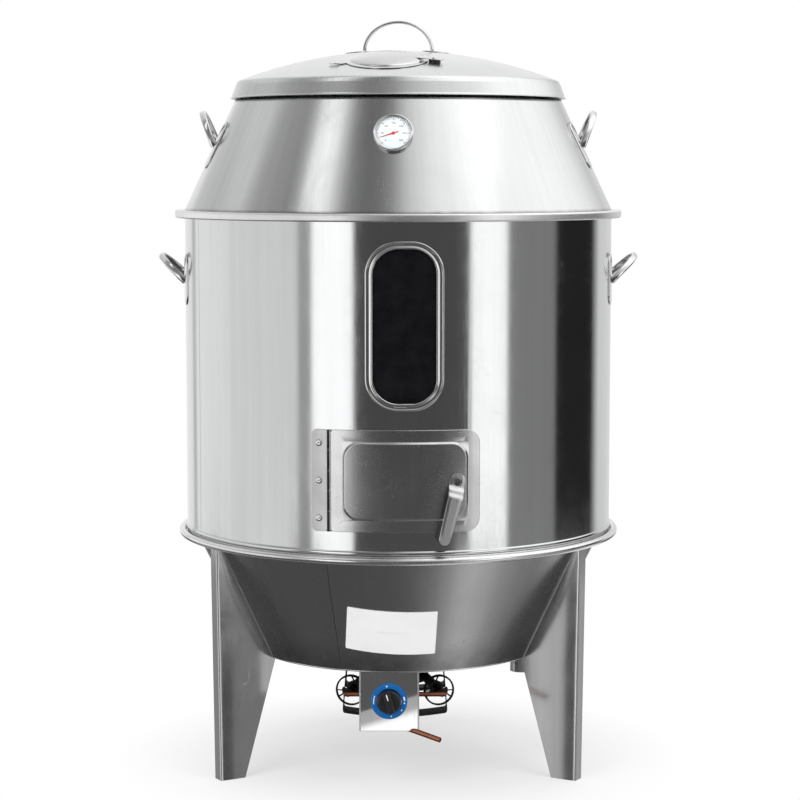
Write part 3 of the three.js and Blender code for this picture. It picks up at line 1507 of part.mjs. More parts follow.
add('cone_flange_ring', coneFlange(), brightSteel);
add('cone_shell', coneShell(), steel);
add('cone_handle_right', coneHandle(1), brightSteel);
add('cone_handle_left', coneHandle(-1), brightSteel);
add('gauge_case', gaugeCase(), brightSteel);
add('gauge_dial', gaugeDial(), dialWhite);
add('gauge_lens', gaugeLens(), clearGlass);
add('gauge_needle', gaugeNeedle(), needleRed);
add('gauge_probe', gaugeProbe(), brass);
['a', 'b', 'c'].forEach((place, i) => {
  add(`rack_bracket_${place}`, rackBracket(i * legTurn), innerSteel);
});
add('hanging_rack', hangingRack(), innerSteel);

add('lid_shell', lidShell(), steel);
add('lid_handle', lidHandle(), brightSteel);
add('vent_cover', ventCover(), steel);
add('vent_spacer', ventSpacer(), blackPlastic);
add('vent_rivet', ventRivet(), brightSteel);

export default group;
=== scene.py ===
import json
import bpy
import bmesh
from math import radians, degrees, sin, cos, asin, sqrt, pi, hypot, atan2
from mathutils import Matrix, Vector

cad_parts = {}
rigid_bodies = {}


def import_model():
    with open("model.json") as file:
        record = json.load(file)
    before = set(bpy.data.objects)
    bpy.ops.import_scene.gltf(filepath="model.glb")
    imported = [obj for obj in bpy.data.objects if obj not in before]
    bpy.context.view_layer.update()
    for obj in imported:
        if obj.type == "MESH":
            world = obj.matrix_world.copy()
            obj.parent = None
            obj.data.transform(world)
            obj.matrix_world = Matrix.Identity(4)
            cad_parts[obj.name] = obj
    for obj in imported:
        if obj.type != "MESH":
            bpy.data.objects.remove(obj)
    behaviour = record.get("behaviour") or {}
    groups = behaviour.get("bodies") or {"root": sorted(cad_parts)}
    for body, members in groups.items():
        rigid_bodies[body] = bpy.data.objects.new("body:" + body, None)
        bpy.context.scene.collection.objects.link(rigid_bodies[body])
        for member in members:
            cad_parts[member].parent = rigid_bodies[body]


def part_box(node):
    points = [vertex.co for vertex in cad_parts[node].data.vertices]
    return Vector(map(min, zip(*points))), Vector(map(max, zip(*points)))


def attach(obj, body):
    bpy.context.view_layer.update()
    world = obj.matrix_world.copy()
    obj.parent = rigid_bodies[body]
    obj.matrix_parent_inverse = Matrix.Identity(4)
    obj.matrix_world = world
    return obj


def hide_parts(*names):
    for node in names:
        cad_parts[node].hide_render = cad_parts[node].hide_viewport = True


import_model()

print("frame loaded")
mm = 0.001
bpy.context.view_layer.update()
scene = bpy.context.scene

# levels and radii shared by several pieces, in millimetres as in the CAD part
levels = {
    "bowlLow": 217.8, "bowlTop": 440.3, "drumLow": 442.1, "drumTop": 1043.1,
    "coneLow": 1045.2, "coneTop": 1250.2, "lidLow": 1250.5, "window": 851.0, "door": 582.1,
}
drumRadius = 400.0
neckRadius = 304.0
coneSlope = (drumRadius - neckRadius) / (levels["coneTop"] - levels["coneLow"])
coneLean = degrees(atan2(coneSlope, 1))
dome = {"radius": 817.0, "centre": 522.94}
gap = 0.3
sheet = 1.5
finish = {}
groups = {}


# camera
def placeCamera():
    view = {"lens": 104.9, "place": (0.0, -4.4028, 1.1262), "pitch": 84.27, "shift": 0.00225}
    camera = bpy.data.objects.new("photoCamera", bpy.data.cameras.new("photoCamera"))
    camera.data.lens = view["lens"]
    camera.data.sensor_width = 36
    camera.data.shift_x = view["shift"]
    camera.data.clip_end = 100
    camera.location = view["place"]
    camera.rotation_euler = (radians(view["pitch"]), 0, 0)
    scene.collection.objects.link(camera)
    scene.camera = camera


# mesh helpers
def linkMesh(name, points, faces, smoothAngle=32):
    mesh = bpy.data.meshes.new(name)
    mesh.from_pydata([tuple(c * mm for c in p) for p in points], [], faces)
    mesh.validate()
    piece = bpy.data.objects.new(name, mesh)
    scene.collection.objects.link(piece)
    cleanMesh(mesh)
    shadeRound(mesh, smoothAngle)
    return piece


def cleanMesh(mesh, mergeFlats=False):
    # joins doubled points, then turns the faces outward or merges the flat ones
    work = bmesh.new()
    work.from_mesh(mesh)
    bmesh.ops.remove_doubles(work, verts=work.verts, dist=1e-6)
    if mergeFlats:
        bmesh.ops.dissolve_limit(work, angle_limit=radians(1.0), verts=work.verts, edges=work.edges)
    else:
        bmesh.ops.recalc_face_normals(work, faces=work.faces)
    work.to_mesh(mesh)
    work.free()


def shadeRound(mesh, smoothAngle):
    mesh.shade_smooth()
    mesh.set_sharp_from_angle(angle=radians(smoothAngle))


def bakeModifiers(piece, smoothAngle):
    # keeps the shape that the modifiers give and drops the modifiers
    graph = bpy.context.evaluated_depsgraph_get()
    graph.update()
    mesh = bpy.data.meshes.new_from_object(piece.evaluated_get(graph))
    piece.modifiers.clear()
    piece.data = mesh
    shadeRound(mesh, smoothAngle)


def cutWith(piece, cutters, smoothAngle=32):
    for cutter in cutters:
        hole = piece.modifiers.new("cut", "BOOLEAN")
        hole.operation = "DIFFERENCE"
        hole.solver = "EXACT"
        hole.object = cutter
    bakeModifiers(piece, smoothAngle)
    for cutter in cutters:
        bpy.data.objects.remove(cutter)


def wear(piece, look, body, slot, *nodes):
    piece.data.materials.clear()
    piece.data.materials.append(finish[look])
    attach(piece, body)
    if nodes:
        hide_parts(*nodes)


def makePiece(name, parts, smoothAngle, look, body, slot, *nodes):
    wear(linkMesh(name, *parts, smoothAngle), look, body, slot, *nodes)


def cadPiece(node):
    return next(o for o in bpy.data.objects if o.name == node)


def joined(*parts):
    points, faces = [], []
    for p, f in parts:
        start = len(points)
        points += list(p)
        faces += [[i + start for i in face] for face in f]
    return points, faces


def moved(carry, parts):
    return [carry @ Vector(p) for p in parts[0]], parts[1]


def through(carry):
    # lays flat points out through one matrix
    return lambda x, y, h: carry @ Vector((x, y, h))


def turnAbout(axis, angle):
    return Matrix.Rotation(radians(angle), 4, axis)


def evenSteps(start, end, count):
    return [start + (end - start) * k / count for k in range(count + 1)]


def softened(profile, radius, steps=3):
    # rounds every corner of a closed outline
    rounded = []
    count = len(profile)
    for i, corner in enumerate(profile):
        here = Vector(corner)
        before = Vector(profile[i - 1]) - here
        after = Vector(profile[(i + 1) % count]) - here
        if here.x < 1e-6 or before.length < 1e-6 or after.length < 1e-6:
            rounded.append(tuple(here))
            continue
        reach = min(radius, before.length * 0.45, after.length * 0.45)
        start = here + before.normalized() * reach
        end = here + after.normalized() * reach
        # a point just outside each end of the arc keeps the shading of a long side true
        if before.length > reach * 4:
            rounded.append(tuple(here + before.normalized() * reach * 1.6))
        for k in range(steps + 1):
            t = k / steps
            rounded.append(tuple(start * (1 - t) ** 2 + here * 2 * t * (1 - t) + end * t ** 2))
        if after.length > reach * 4:
            rounded.append(tuple(here + after.normalized() * reach * 1.6))
    return rounded


def ovalSection(across, up, count, x=0.0, y=0.0):
    turns = [2 * pi * k / count for k in range(count)]
    return [(x + across * cos(t), y + up * sin(t)) for t in turns]


def strapSection(width, height, power, count):
    # an oval with fuller corners
    section = []
    for c, s in ovalSection(1, 1, count):
        x = abs(c) ** (2 / power) * (1 if c >= 0 else -1)
        y = abs(s) ** (2 / power) * (1 if s >= 0 else -1)
        section.append((x * width / 2, y * height / 2))
    return section


def turnedParts(profile, sides, closed=True):
    points, faces, rings = [], [], []
    for radius, height in profile:
        if radius < 1e-6:
            rings.append([len(points)] * sides)
            points.append((0.0, 0.0, height))
            continue
        rings.append(list(range(len(points), len(points) + sides)))
        for k in range(sides):
            angle = 2 * pi * k / sides
            points.append((radius * sin(angle), -radius * cos(angle), height))
    pairs = list(zip(rings, rings[1:]))
    if closed and profile[0][0] > 1e-6:
        pairs.append((rings[-1], rings[0]))
    for a, b in pairs:
        for k in range(sides):
            n = (k + 1) % sides
            corners = list(dict.fromkeys([a[k], a[n], b[n], b[k]]))
            if len(corners) > 2:
                faces.append(corners)
    return points, faces


def boreCutter(name, radius, low, high, sides, carry):
    outline = [(0, low), (radius, low), (radius, high), (0, high)]
    return linkMesh(name, *moved(carry, turnedParts(outline, sides)))


def loftParts(loops, closed=False, capped=True):
    # joins neighbouring loops of points, which all have the same count
    count = len(loops[0])
    rows = [[i * count + k for k in range(count)] for i in range(len(loops))]
    pairs = list(zip(rows, rows[1:]))
    if closed:
        pairs.append((rows[-1], rows[0]))
    faces = []
    for a, b in pairs:
        for k in range(count):
            n = (k + 1) % count
            faces.append([a[k], a[n], b[n], b[k]])
    if capped:
        faces += [rows[0][::-1], rows[-1]]
    return [point for loop in loops for point in loop], faces


def slabParts(outline, low, high):
    return loftParts([[(x, y, z) for x, y in outline] for z in (low, high)])


def sweptParts(frames, section):
    # carries a closed section of (x, y) points along a row of matrices
    return loftParts([[carry @ Vector((x, y, 0)) for x, y in section] for carry in frames])


def roundedRing(width, height, corners, perSide, perArc):
    # one loop of points round a rectangle with rounded corners, always the same count
    a, b, c, d = corners
    x, y = width / 2, height / 2
    centres = [(x - b, -y + b, b, -90), (x - c, y - c, c, 0), (-x + d, y - d, d, 90),
               (-x + a, -y + a, a, 180)]
    ring = []
    for i, (cx, cy, r, start) in enumerate(centres):
        for angle in evenSteps(start, start + 90, perArc):
            ring.append((cx + r * cos(radians(angle)), cy + r * sin(radians(angle))))
        nx, ny, nr, nextStart = centres[(i + 1) % 4]
        end = (nx + nr * cos(radians(nextStart)), ny + nr * sin(radians(nextStart)))
        start = ring[-1]
        steps = perSide[0] if i % 2 else perSide[1]
        for k in range(1, steps):
            t = k / steps
            ring.append((start[0] + (end[0] - start[0]) * t, start[1] + (end[1] - start[1]) * t))
    return ring


def pressedParts(width, height, corners, profile, place, perSide, perArc, closed=False):
    # a pressed plate: loops at (inset, height) pairs, carried to the wall by place(x, y, h);
    # corners is one radius, four of them, or a function that gives the four at an inset
    fours = corners if isinstance(corners, list) else [corners] * 4
    loops = []
    for inset, rise in profile:
        radii = corners(inset) if callable(corners) else [max(0.4, c - inset) for c in fours]
        limit = max(0.05, min(width, height) / 2 - inset)
        ring = roundedRing(width - 2 * inset, height - 2 * inset, [min(r, limit) for r in radii], perSide,
                           perArc)
        loops.append([place(x, y, rise) for x, y in ring])
    return loftParts(loops, closed, not closed)


def wallFrame(turn, lean, radius, height):
    # local x to the right as seen from outside, y up along the wall, z out of it
    s, c, e, f = sin(radians(turn)), cos(radians(turn)), sin(radians(lean)), cos(radians(lean))
    across, up, out = (c, s, 0), (-s * e, c * e, f), (s * f, -c * f, e)
    basis = Matrix((across, up, out)).transposed().to_4x4()
    basis.translation = Vector((radius * s, -radius * c, height))
    return basis


def onDrum(turn, height, radius=drumRadius):
    # wraps flat points round the barrel
    across = Vector((cos(radians(turn)), sin(radians(turn)), 0))
    out = Vector((sin(radians(turn)), -cos(radians(turn)), 0))

    def place(x, y, rise):
        reach = radius + rise
        depth = sqrt(max(0.0, reach * reach - x * x))
        return across * x + out * depth + Vector((0, 0, height + y))
    return place


def offCone(carry, radiusAt, slope):
    # slides each point along the wall's outward line until it stands h off a cone
    outward = carry.to_3x3() @ Vector((0, 0, 1))

    def place(x, y, h):
        spot = carry @ Vector((x, y, 0))
        for _ in range(6):
            off = (hypot(spot.x, spot.y) - radiusAt(spot.z)) / hypot(1, slope)
            spot = spot - outward * (off - h)
        return spot
    return place


# shader helpers
def addNode(tree, kind, settings=None, **inputs):
    made = tree.nodes.new(kind)
    for key, value in (settings or {}).items():
        setattr(made, key, value)
    for key, value in inputs.items():
        setSocket(tree, made, key, value)
    return made


def setSocket(tree, made, key, value):
    # key is the socket's name, or i and its number
    name = key.replace("_", " ")
    socket = made.inputs[int(name[1:])] if name[0] == "i" and name[1:].isdigit() else made.inputs[name]
    if isinstance(value, bpy.types.NodeSocket):
        tree.links.new(value, socket)
    else:
        socket.default_value = value


def maths(tree, operation, *values):
    inputs = {"i" + str(n): value for n, value in enumerate(values)}
    return addNode(tree, "ShaderNodeMath", {"operation": operation}, **inputs).outputs[0]


def noise(tree, place, size, detail, **more):
    return addNode(tree, "ShaderNodeTexNoise", Vector=place, Scale=size, Detail=detail, **more).outputs[0]


def spread(tree, value, low, high, fromLow=0.0, fromHigh=1.0, shape="LINEAR"):
    return addNode(tree, "ShaderNodeMapRange", {"interpolation_type": shape}, Value=value, i1=fromLow,
                   i2=fromHigh, i3=low, i4=high).outputs[0]


def mixColours(tree, factor, first, second):
    colours = [c if isinstance(c, bpy.types.NodeSocket) else (*c, 1) for c in (first, second)]
    return addNode(tree, "ShaderNodeMix", {"data_type": "RGBA"}, Factor=factor, i6=colours[0],
                   i7=colours[1]).outputs[2]


def objectPlace(tree):
    return addNode(tree, "ShaderNodeTexCoord").outputs["Object"]


def splitPlace(tree, place):
    return addNode(tree, "ShaderNodeSeparateXYZ", Vector=place).outputs


def newGroup(name, inputs, outputs):
    # every input and output is one number
    group = bpy.data.node_groups.new(name, "ShaderNodeTree")
    for label, value in inputs.items():
        socket = group.interface.new_socket(name=label, in_out="INPUT", socket_type="NodeSocketFloat")
        socket.default_value = value
    for label in outputs:
        group.interface.new_socket(name=label, in_out="OUTPUT", socket_type="NodeSocketFloat")
    return group, group.nodes.new("NodeGroupInput").outputs, group.nodes.new("NodeGroupOutput").inputs


def useGroup(tree, maker, **inputs):
    if maker not in groups:
        groups[maker] = maker()
    return addNode(tree, "ShaderNodeGroup", {"node_tree": groups[maker]}, **inputs).outputs


def rolledGrain():
    # fine drawn lines of rolled sheet, laid round the oven's axis or along a flat piece
    inputs = {"Lines per metre": 900.0, "Length": 0.03, "Round the axis": 1.0}
    group, given, out = newGroup("rolledGrain", inputs, ["Lines", "Bands"])
    place = objectPlace(group)
    split = splitPlace(group, place)
    arc = maths(group, "MULTIPLY", maths(group, "ARCTAN2", split["X"], split["Y"]), drumRadius * mm)
    wrapped = addNode(group, "ShaderNodeCombineXYZ", X=arc, Y=0.0, Z=split["Z"]).outputs[0]
    chosen = addNode(group, "ShaderNodeMix", {"data_type": "VECTOR"}, Factor=given["Round the axis"],
                     i4=place, i5=wrapped).outputs[1]
    stretch = addNode(group, "ShaderNodeCombineXYZ", X=1.0, Y=1.0, Z=given["Length"]).outputs[0]
    laid = addNode(group, "ShaderNodeVectorMath", {"operation": "MULTIPLY"}, i0=chosen, i1=stretch).outputs[0]
    fine = noise(group, laid, given["Lines per metre"], 3.0, Roughness=0.6)
    slow = noise(group, laid, maths(group, "MULTIPLY", given["Lines per metre"], 0.06), 2.0)
    group.links.new(fine, out["Lines"])
    group.links.new(slow, out["Bands"])
    return group


def handlingMarks():
    # cloudy smears and thin random scratches left by handling
    group, given, out = newGroup("handlingMarks", {"Smear size": 7.0, "Scratch size": 60.0},
                                 ["Smears", "Scratches"])
    place = objectPlace(group)
    cloud = noise(group, place, given["Smear size"], 5.0, Roughness=0.62, Distortion=0.8)
    bent = addNode(group, "ShaderNodeTexNoise", Vector=place, Scale=4.0, Detail=1.0).outputs["Color"]
    shifted = addNode(group, "ShaderNodeVectorMath", {"operation": "MULTIPLY_ADD"}, i0=bent,
                      i1=(0.25, 0.25, 0.25), i2=place).outputs[0]
    cells = addNode(group, "ShaderNodeTexVoronoi", {"feature": "DISTANCE_TO_EDGE"}, Vector=shifted,
                    Scale=given["Scratch size"]).outputs[0]
    thin = spread(group, cells, 1.0, 0.0, 0.0, 0.02)
    patches = spread(group, noise(group, place, 23.0, 2.0), 0.0, 1.0, 0.55, 0.7)
    group.links.new(spread(group, cloud, 0.0, 1.0, 0.38, 0.68), out["Smears"])
    group.links.new(maths(group, "MULTIPLY", thin, patches), out["Scratches"])
    return group


def seamShade():
    # a soft dark band on both sides of a level: painted shade where parts meet, patchy by noise
    group, given, out = newGroup("seamShade", {"Level": 0.5, "Width": 0.006}, ["Grime"])
    place = objectPlace(group)
    away = maths(group, "SUBTRACT", splitPlace(group, place)["Z"], given["Level"])
    share = maths(group, "DIVIDE", maths(group, "ABSOLUTE", away), given["Width"])
    near = spread(group, share, 1.0, 0.0, 0.0, 1.0, "SMOOTHSTEP")
    group.links.new(maths(group, "MULTIPLY", near, noise(group, place, 40.0, 4.0)), out["Grime"])
    return group


def castSkin():
    # sand-cast surface: grit and rust bloom
    group, given, out = newGroup("castSkin", {"Grain size": 380.0}, ["Height", "Rust"])
    place = objectPlace(group)
    bloom = noise(group, place, 18.0, 6.0, Roughness=0.7)
    group.links.new(noise(group, place, given["Grain size"], 6.0, Roughness=0.7), out["Height"])
    group.links.new(spread(group, bloom, 0.0, 1.0, 0.5, 0.75), out["Rust"])
    return group


def heatHaze():
    # straw and brown tint where sheet was heated, stronger lower down
    group, given, out = newGroup("heatHaze", {"Low": 0.2, "High": 0.7}, ["Haze"])
    place = objectPlace(group)
    rise = spread(group, splitPlace(group, place)["Z"], 1.0, 0.0, given["Low"], given["High"])
    group.links.new(maths(group, "MULTIPLY", rise, noise(group, place, 9.0, 5.0)), out["Haze"])
    return group


def newMaterial(name, **sockets):
    material = bpy.data.materials.new(name)
    material.use_nodes = True
    shader = material.node_tree.nodes["Principled BSDF"]
    for key, value in sockets.items():
        setSocket(material.node_tree, shader, key, value)
    return material, material.node_tree, shader


def dressShader(tree, shader, colour, roughness, height, bump, depth=0.0002):
    bumped = addNode(tree, "ShaderNodeBump", Strength=bump, Distance=depth, Height=height).outputs[0]
    for key, value in (("Base Color", colour), ("Roughness", roughness), ("Normal", bumped)):
        tree.links.new(value, shader.inputs[key])


def steelMaterial(name, look):
    material, tree, shader = newMaterial(name, Metallic=1.0)
    grain = useGroup(tree, rolledGrain, Lines_per_metre=look["lines"], Length=look["length"],
                     Round_the_axis=1.0 if look["round"] else 0.0)
    marks = useGroup(tree, handlingMarks)
    shade = mixColours(tree, grain["Bands"], look["dark"], look["light"])
    colour = mixColours(tree, spread(tree, marks["Smears"], 0.0, look["smearDepth"]), shade, look["dark"])
    for level, width in look["seams"]:
        # painted shade: each joint level darkens the colour towards near black, patchy by noise
        jointShade = useGroup(tree, seamShade, Level=level * mm, Width=width * mm)["Grime"]
        colour = mixColours(tree, spread(tree, jointShade, 0.0, 0.9), colour, (0.16, 0.155, 0.15))
    if "haze" in look:
        haze = useGroup(tree, heatHaze, Low=look["haze"][0] * mm, High=look["haze"][1] * mm)["Haze"]
        colour = mixColours(tree, spread(tree, haze, 0.0, 1.0, 0.15, 0.6), colour, (0.3, 0.2, 0.12))
    base, swing = look["roughness"], look["swing"]
    fine = spread(tree, grain["Lines"], base - swing, base + swing, 0.3, 0.7)
    rough = maths(tree, "ADD", fine, spread(tree, marks["Smears"], 0.0, look["smearRough"]))
    worn = maths(tree, "ADD", rough, spread(tree, marks["Scratches"], 0.0, 0.15))
    height = maths(tree, "MULTIPLY_ADD", marks["Scratches"], -0.4, grain["Lines"])
    dressShader(tree, shader, colour, worn, height, look["bump"])
    return material


def plainMaterial(name, look, sockets):
    # paint, plastic, glass and print: a base colour with small cloudy changes and a fine texture
    material, tree, shader = newMaterial(name, **sockets)
    place = objectPlace(tree)
    cloud = spread(tree, noise(tree, place, look["cloud"], 4.0), 0.0, 1.0, 0.35, 0.65)
    marks = useGroup(tree, handlingMarks, Smear_size=30.0, Scratch_size=160.0)
    base = look["roughness"]
    dressShader(tree, shader, mixColours(tree, cloud, look["dark"], look["light"]),
                spread(tree, marks["Smears"], base, base + look["swing"]), noise(tree, place, 1500.0, 2.0),
                look["bump"])
    return material


def castMaterial(name, look):
    material, tree, shader = newMaterial(name, Metallic=look["metal"])
    skin = useGroup(tree, castSkin)
    base = look["roughness"]
    dressShader(tree, shader, mixColours(tree, skin["Rust"], look["dark"], look["rust"]),
                spread(tree, skin["Height"], base - 0.1, base + 0.12, 0.3, 0.7), skin["Height"],
                look["bump"], 0.0006)
    return material


def greys(dark, light, blue=0.005):
    return {"dark": (dark, dark, dark + blue), "light": (light, light, light + blue)}


def makeSteels():
    common = {"swing": 0.05, "bump": 0.05, "smearDepth": 0.25, "smearRough": 0.06, "seams": []}
    # sheet rolled round the oven's axis, and flat or folded sheet
    drawn = {**common, "lines": 900.0, "length": 0.03, "round": True, "dark": (0.60, 0.605, 0.61),
             "light": (0.70, 0.703, 0.706)}
    flat = {**common, "lines": 1400.0, "length": 0.02, "round": False, **greys(0.56, 0.66)}

    def steel(key, name, base, tones=None, **look):
        finish[key] = steelMaterial(name, {**base, **(tones or {}), **look})

    # seams give the levels and widths of painted shade bands at the joints
    steel("drum", "rolledSteelBarrel", drawn, roughness=0.1, bump=0.02, swing=0.03, smearRough=0.04,
          smearDepth=0.15, seams=[(442, 6), (1044, 5)])
    steel("cone", "rolledSteelCone", drawn, roughness=0.14, bump=0.03, smearDepth=0.3, seams=[(1046, 5)])
    # the bowl's 70 mm band at its lower hem is painted shade, darker towards the bottom
    steel("bowl", "rolledSteelBowl", drawn, greys(0.5, 0.58), roughness=0.25, bump=0.003, swing=0.01,
          seams=[(440, 6), (219, 70)])
    steel("seam", "darkWeldSeam", drawn, greys(0.2, 0.28, 0), roughness=0.45)
    steel("lid", "rolledSteelLid", drawn, roughness=0.22, bump=0.03, dark=(0.64, 0.645, 0.65),
          light=(0.74, 0.743, 0.746))
    steel("rim", "brightRolledRim", drawn, greys(0.74, 0.82), roughness=0.2, lines=1500.0)
    # flange: satin roughness, with a colour well above the other steels: a painted sheen that lightens the
    # ring
    steel("flange", "satinFlangeRingPaintedSheen", drawn, greys(0.84, 0.92), roughness=0.36, lines=1500.0, bump=0.02)
    steel("vent", "polishedVentCap", drawn, greys(0.6, 0.7), roughness=0.12, bump=0.02)
    steel("liner", "innerSteel", drawn, roughness=0.36, dark=(0.34, 0.33, 0.32), light=(0.44, 0.43, 0.42),
          haze=(200, 900), bump=0.12)
    steel("door", "brushedDoorSteel", flat, round=True, roughness=0.2, bump=0.005, swing=0.02, smearDepth=0.4)
    steel("folded", "foldedSheetSteel", flat, roughness=0.2, bump=0.04, swing=0.03)
    steel("strip", "hingeStripSteel", flat, round=True, roughness=0.3, bump=0.03)
    steel("weld", "brushedWeld", flat, greys(0.7, 0.78, 0), roughness=0.3, bump=0.03)
    steel("lever", "satinLever", flat, greys(0.54, 0.62), roughness=0.27, bump=0.03)
    # edge: near-white rough steel for the rods in the box's folds, a painted highlight
    steel("edge", "paintedFoldHighlight", flat, greys(0.9, 0.96, 0), roughness=0.4, bump=0.01)
    # bolt: polished steel coloured dark, a painted dark reflection on the spindle's head
    steel("bolt", "paintedDarkReflectionBolt", flat, greys(0.16, 0.22), roughness=0.14)
    # knuckle: near-black steel, painted shade so the hinge reads as a dark line
    steel("knuckle", "shadeDarkKnuckle", flat, greys(0.05, 0.09, 0), roughness=0.5)
    steel("leg", "foldedLegSteel", flat, roughness=0.11, bump=0.01, swing=0.02)
    steel("polished", "polishedSteel", flat, greys(0.66, 0.74, 0), roughness=0.1, bump=0.02, swing=0.02)
    steel("box", "brightBoxSteel", flat, greys(0.68, 0.76, 0), roughness=0.014, bump=0.001, swing=0.004,
          smearRough=0.006)


def makeCasts():
    def cast(key, name, dark, rust, roughness, metal, bump):
        look = {"dark": dark, "rust": rust, "roughness": roughness, "metal": metal, "bump": bump}
        finish[key] = castMaterial(name, look)

    cast("iron", "castIron", (0.018, 0.018, 0.019), (0.055, 0.03, 0.02), 0.62, 0.5, 0.4)
    cast("brass", "gasBrass", (0.52, 0.35, 0.13), (0.38, 0.24, 0.09), 0.36, 1.0, 0.12)
    cast("copper", "copperTube", (0.55, 0.22, 0.13), (0.2, 0.06, 0.04), 0.15, 1.0, 0.08)


def makePlains():
    def plain(key, name, dark, light, roughness, swing=0.1, bump=0.08, cloud=30.0, **sockets):
        look = {"dark": dark, "light": light, "roughness": roughness, "swing": swing, "bump": bump,
                "cloud": cloud}
        finish[key] = plainMaterial(name, look, sockets)

    plain("blackPlastic", "blackKnobPlastic", (0.012, 0.012, 0.013), (0.02, 0.02, 0.021), 0.34)
    plain("bluePlastic", "blueRingPlastic", (0.001, 0.1, 0.36), (0.002, 0.135, 0.43), 0.4,
          Specular_IOR_Level=0.25)
    plain("darkGlass", "darkWindowGlass", (0.004, 0.004, 0.005), (0.008, 0.008, 0.009), 0.03, 0.04, 0.0,
          Specular_IOR_Level=0.2)
    plain("lens", "gaugeLens", (0.96, 0.98, 0.98), (1, 1, 1), 0.02, 0.03, 0.0, Transmission_Weight=1.0,
          IOR=1.1)
    plain("dial", "dialFace", (0.74, 0.77, 0.78), (0.82, 0.84, 0.85), 0.5)
    plain("figures", "dialFigures", (0.02, 0.03, 0.04), (0.04, 0.05, 0.06), 0.55)
    plain("needle", "needleRed", (0.5, 0.02, 0.03), (0.6, 0.04, 0.05), 0.4)
    plain("white", "whitePlate", (0.86, 0.85, 0.845), (0.9, 0.89, 0.885), 0.5, cloud=12.0)
    plain("print", "whiteMarks", (0.75, 0.8, 0.85), (0.85, 0.88, 0.9), 0.5)


# bowl, rim and legs
bowl = {"top": 384.0, "bottom": 272.0, "flange": 402.7, "lip": 14.0, "rimHalf": 6.6, "rimCentre": 408.6,
        "rimRise": 2.7}
bowlHeight = levels["bowlTop"] - levels["bowlLow"]
bowlSlope = (bowl["top"] - bowl["bottom"]) / bowlHeight
bowlLean = -degrees(atan2(bowl["top"] - bowl["bottom"], bowlHeight))
leg = {"top": 432.3, "stand": 217.8, "outLow": 384.0, "outHigh": 390.0, "foot": 334.0, "inner": 269.0,
       "half": 13.0, "thick": 2.0, "fold": 2.6}


def bowlRadius(z):
    return bowl["bottom"] + (z - levels["bowlLow"]) * bowlSlope


def buildBowl():
    low, top = levels["bowlLow"], levels["bowlTop"]
    wall = sheet * hypot(1, bowlSlope)
    lip = bowl["bottom"] - bowl["lip"]
    profile = [(lip, low), (bowl["bottom"], low), (bowl["top"], top), (bowl["flange"], top),
               (bowl["flange"], top + sheet), (bowlRadius(top + sheet) - wall, top + sheet),
               (bowlRadius(low + sheet) - wall, low + sheet), (lip, low + sheet)]
    makePiece("bowl_wall", turnedParts(softened(profile, 2.2), 256), 32, "bowl", "base", "stainless",
              "base_bowl")

    rim = ovalSection(bowl["rimHalf"], bowl["rimHalf"], 20, bowl["rimCentre"], top + bowl["rimRise"])
    makePiece("bowl_rolled_rim", turnedParts(rim, 256), 32, "rim", "base", "bright_stainless",
              "base_rim_bead")
    hem = ovalSection(1.9, 1.9, 16, bowl["bottom"] - 0.6, low + 1.4)
    makePiece("bowl_lower_hem", turnedParts(hem, 256), 32, "rim", "base", "bright_stainless")

    # weld seam down the bowl, beside the white plate
    seam = []
    for k in range(25):
        z = top - 12 - (top - low - 20) * k / 24
        seam.append(wallFrame(-19.3 - 2.4 * k / 24, bowlLean, bowlRadius(z) + 0.1, z) @ turnAbout("X", 90))
    makePiece("bowl_weld_seam", sweptParts(seam, ovalSection(1.6, 0.5, 10)), 32, "seam", "base", "stainless")


def buildPlate():
    # blank white plate, bent to the bowl
    plate = {"width": 161.0, "height": 95.0, "turn": -2.3, "rise": 81.0, "corner": 2.4, "askew": -3.6}
    z = levels["bowlLow"] + plate["rise"]
    carry = wallFrame(plate["turn"], bowlLean, bowlRadius(z), z) @ turnAbout("Z", plate["askew"])
    half = plate["height"] / 2
    profile = [(i, 0.2) for i in evenSteps(half - 0.5, 0.2, 6)] + [(0.0, 0.3), (0.0, 0.7), (0.2, 0.9)]
    profile += [(i, 0.9) for i in evenSteps(1.0, half - 0.5, 6)]
    parts = pressedParts(plate["width"], plate["height"], plate["corner"], profile,
                         offCone(carry, bowlRadius, bowlSlope), (30, 16), 5)
    makePiece("bare_white_plate", parts, 40, "white", "base", "blank_plate", "blank_plate")


def buildLegs():
    for place, turn in (("right", 60), ("left", -60), ("rear", 180)):
        channel, beads = foldedLeg(turn)
        makePiece("folded_leg_" + place, channel, 26, "leg", "base", "stainless", "leg_" + place)
        makePiece("leg_weld_" + place, beads, 60, "weld", "base", "stainless")


def plateBow(away):
    # how far a side plate leans in: splayed a little next to the fold, closing a little further in
    near, far, splay, close = 7.0, 30.0, -0.05, 0.035
    bend = min(max(away - near, 0.0), far - near)
    return splay * away + (close - splay) * (bend ** 2 / (2 * (far - near)) + max(0.0, away - far))


def halfSection(z, inset):
    # half of the channel's outline, from the inner edge of a side plate to the middle of the web
    out = leg["outLow"] + (leg["outHigh"] - leg["outLow"]) * z / leg["top"] - inset
    half, fold = leg["half"] - inset, max(0.6, leg["fold"] - inset)
    if z <= leg["stand"]:
        inner = leg["foot"] + (leg["inner"] - leg["foot"]) * z / leg["stand"]
    else:
        inner = bowlRadius(z) + 0.35 * hypot(1, bowlSlope)
    outline = [(along, half - plateBow(out + inset - along))
               for along in evenSteps(inner, out - fold - 0.8, 14)]
    outline[0] = (sqrt(inner * inner - outline[0][1] ** 2), outline[0][1])
    for angle in evenSteps(90, 0, 5):
        outline.append((out - fold + fold * cos(radians(angle)), half - fold + fold * sin(radians(angle))))
    return [*outline, (out, (half - fold) * 0.8)]


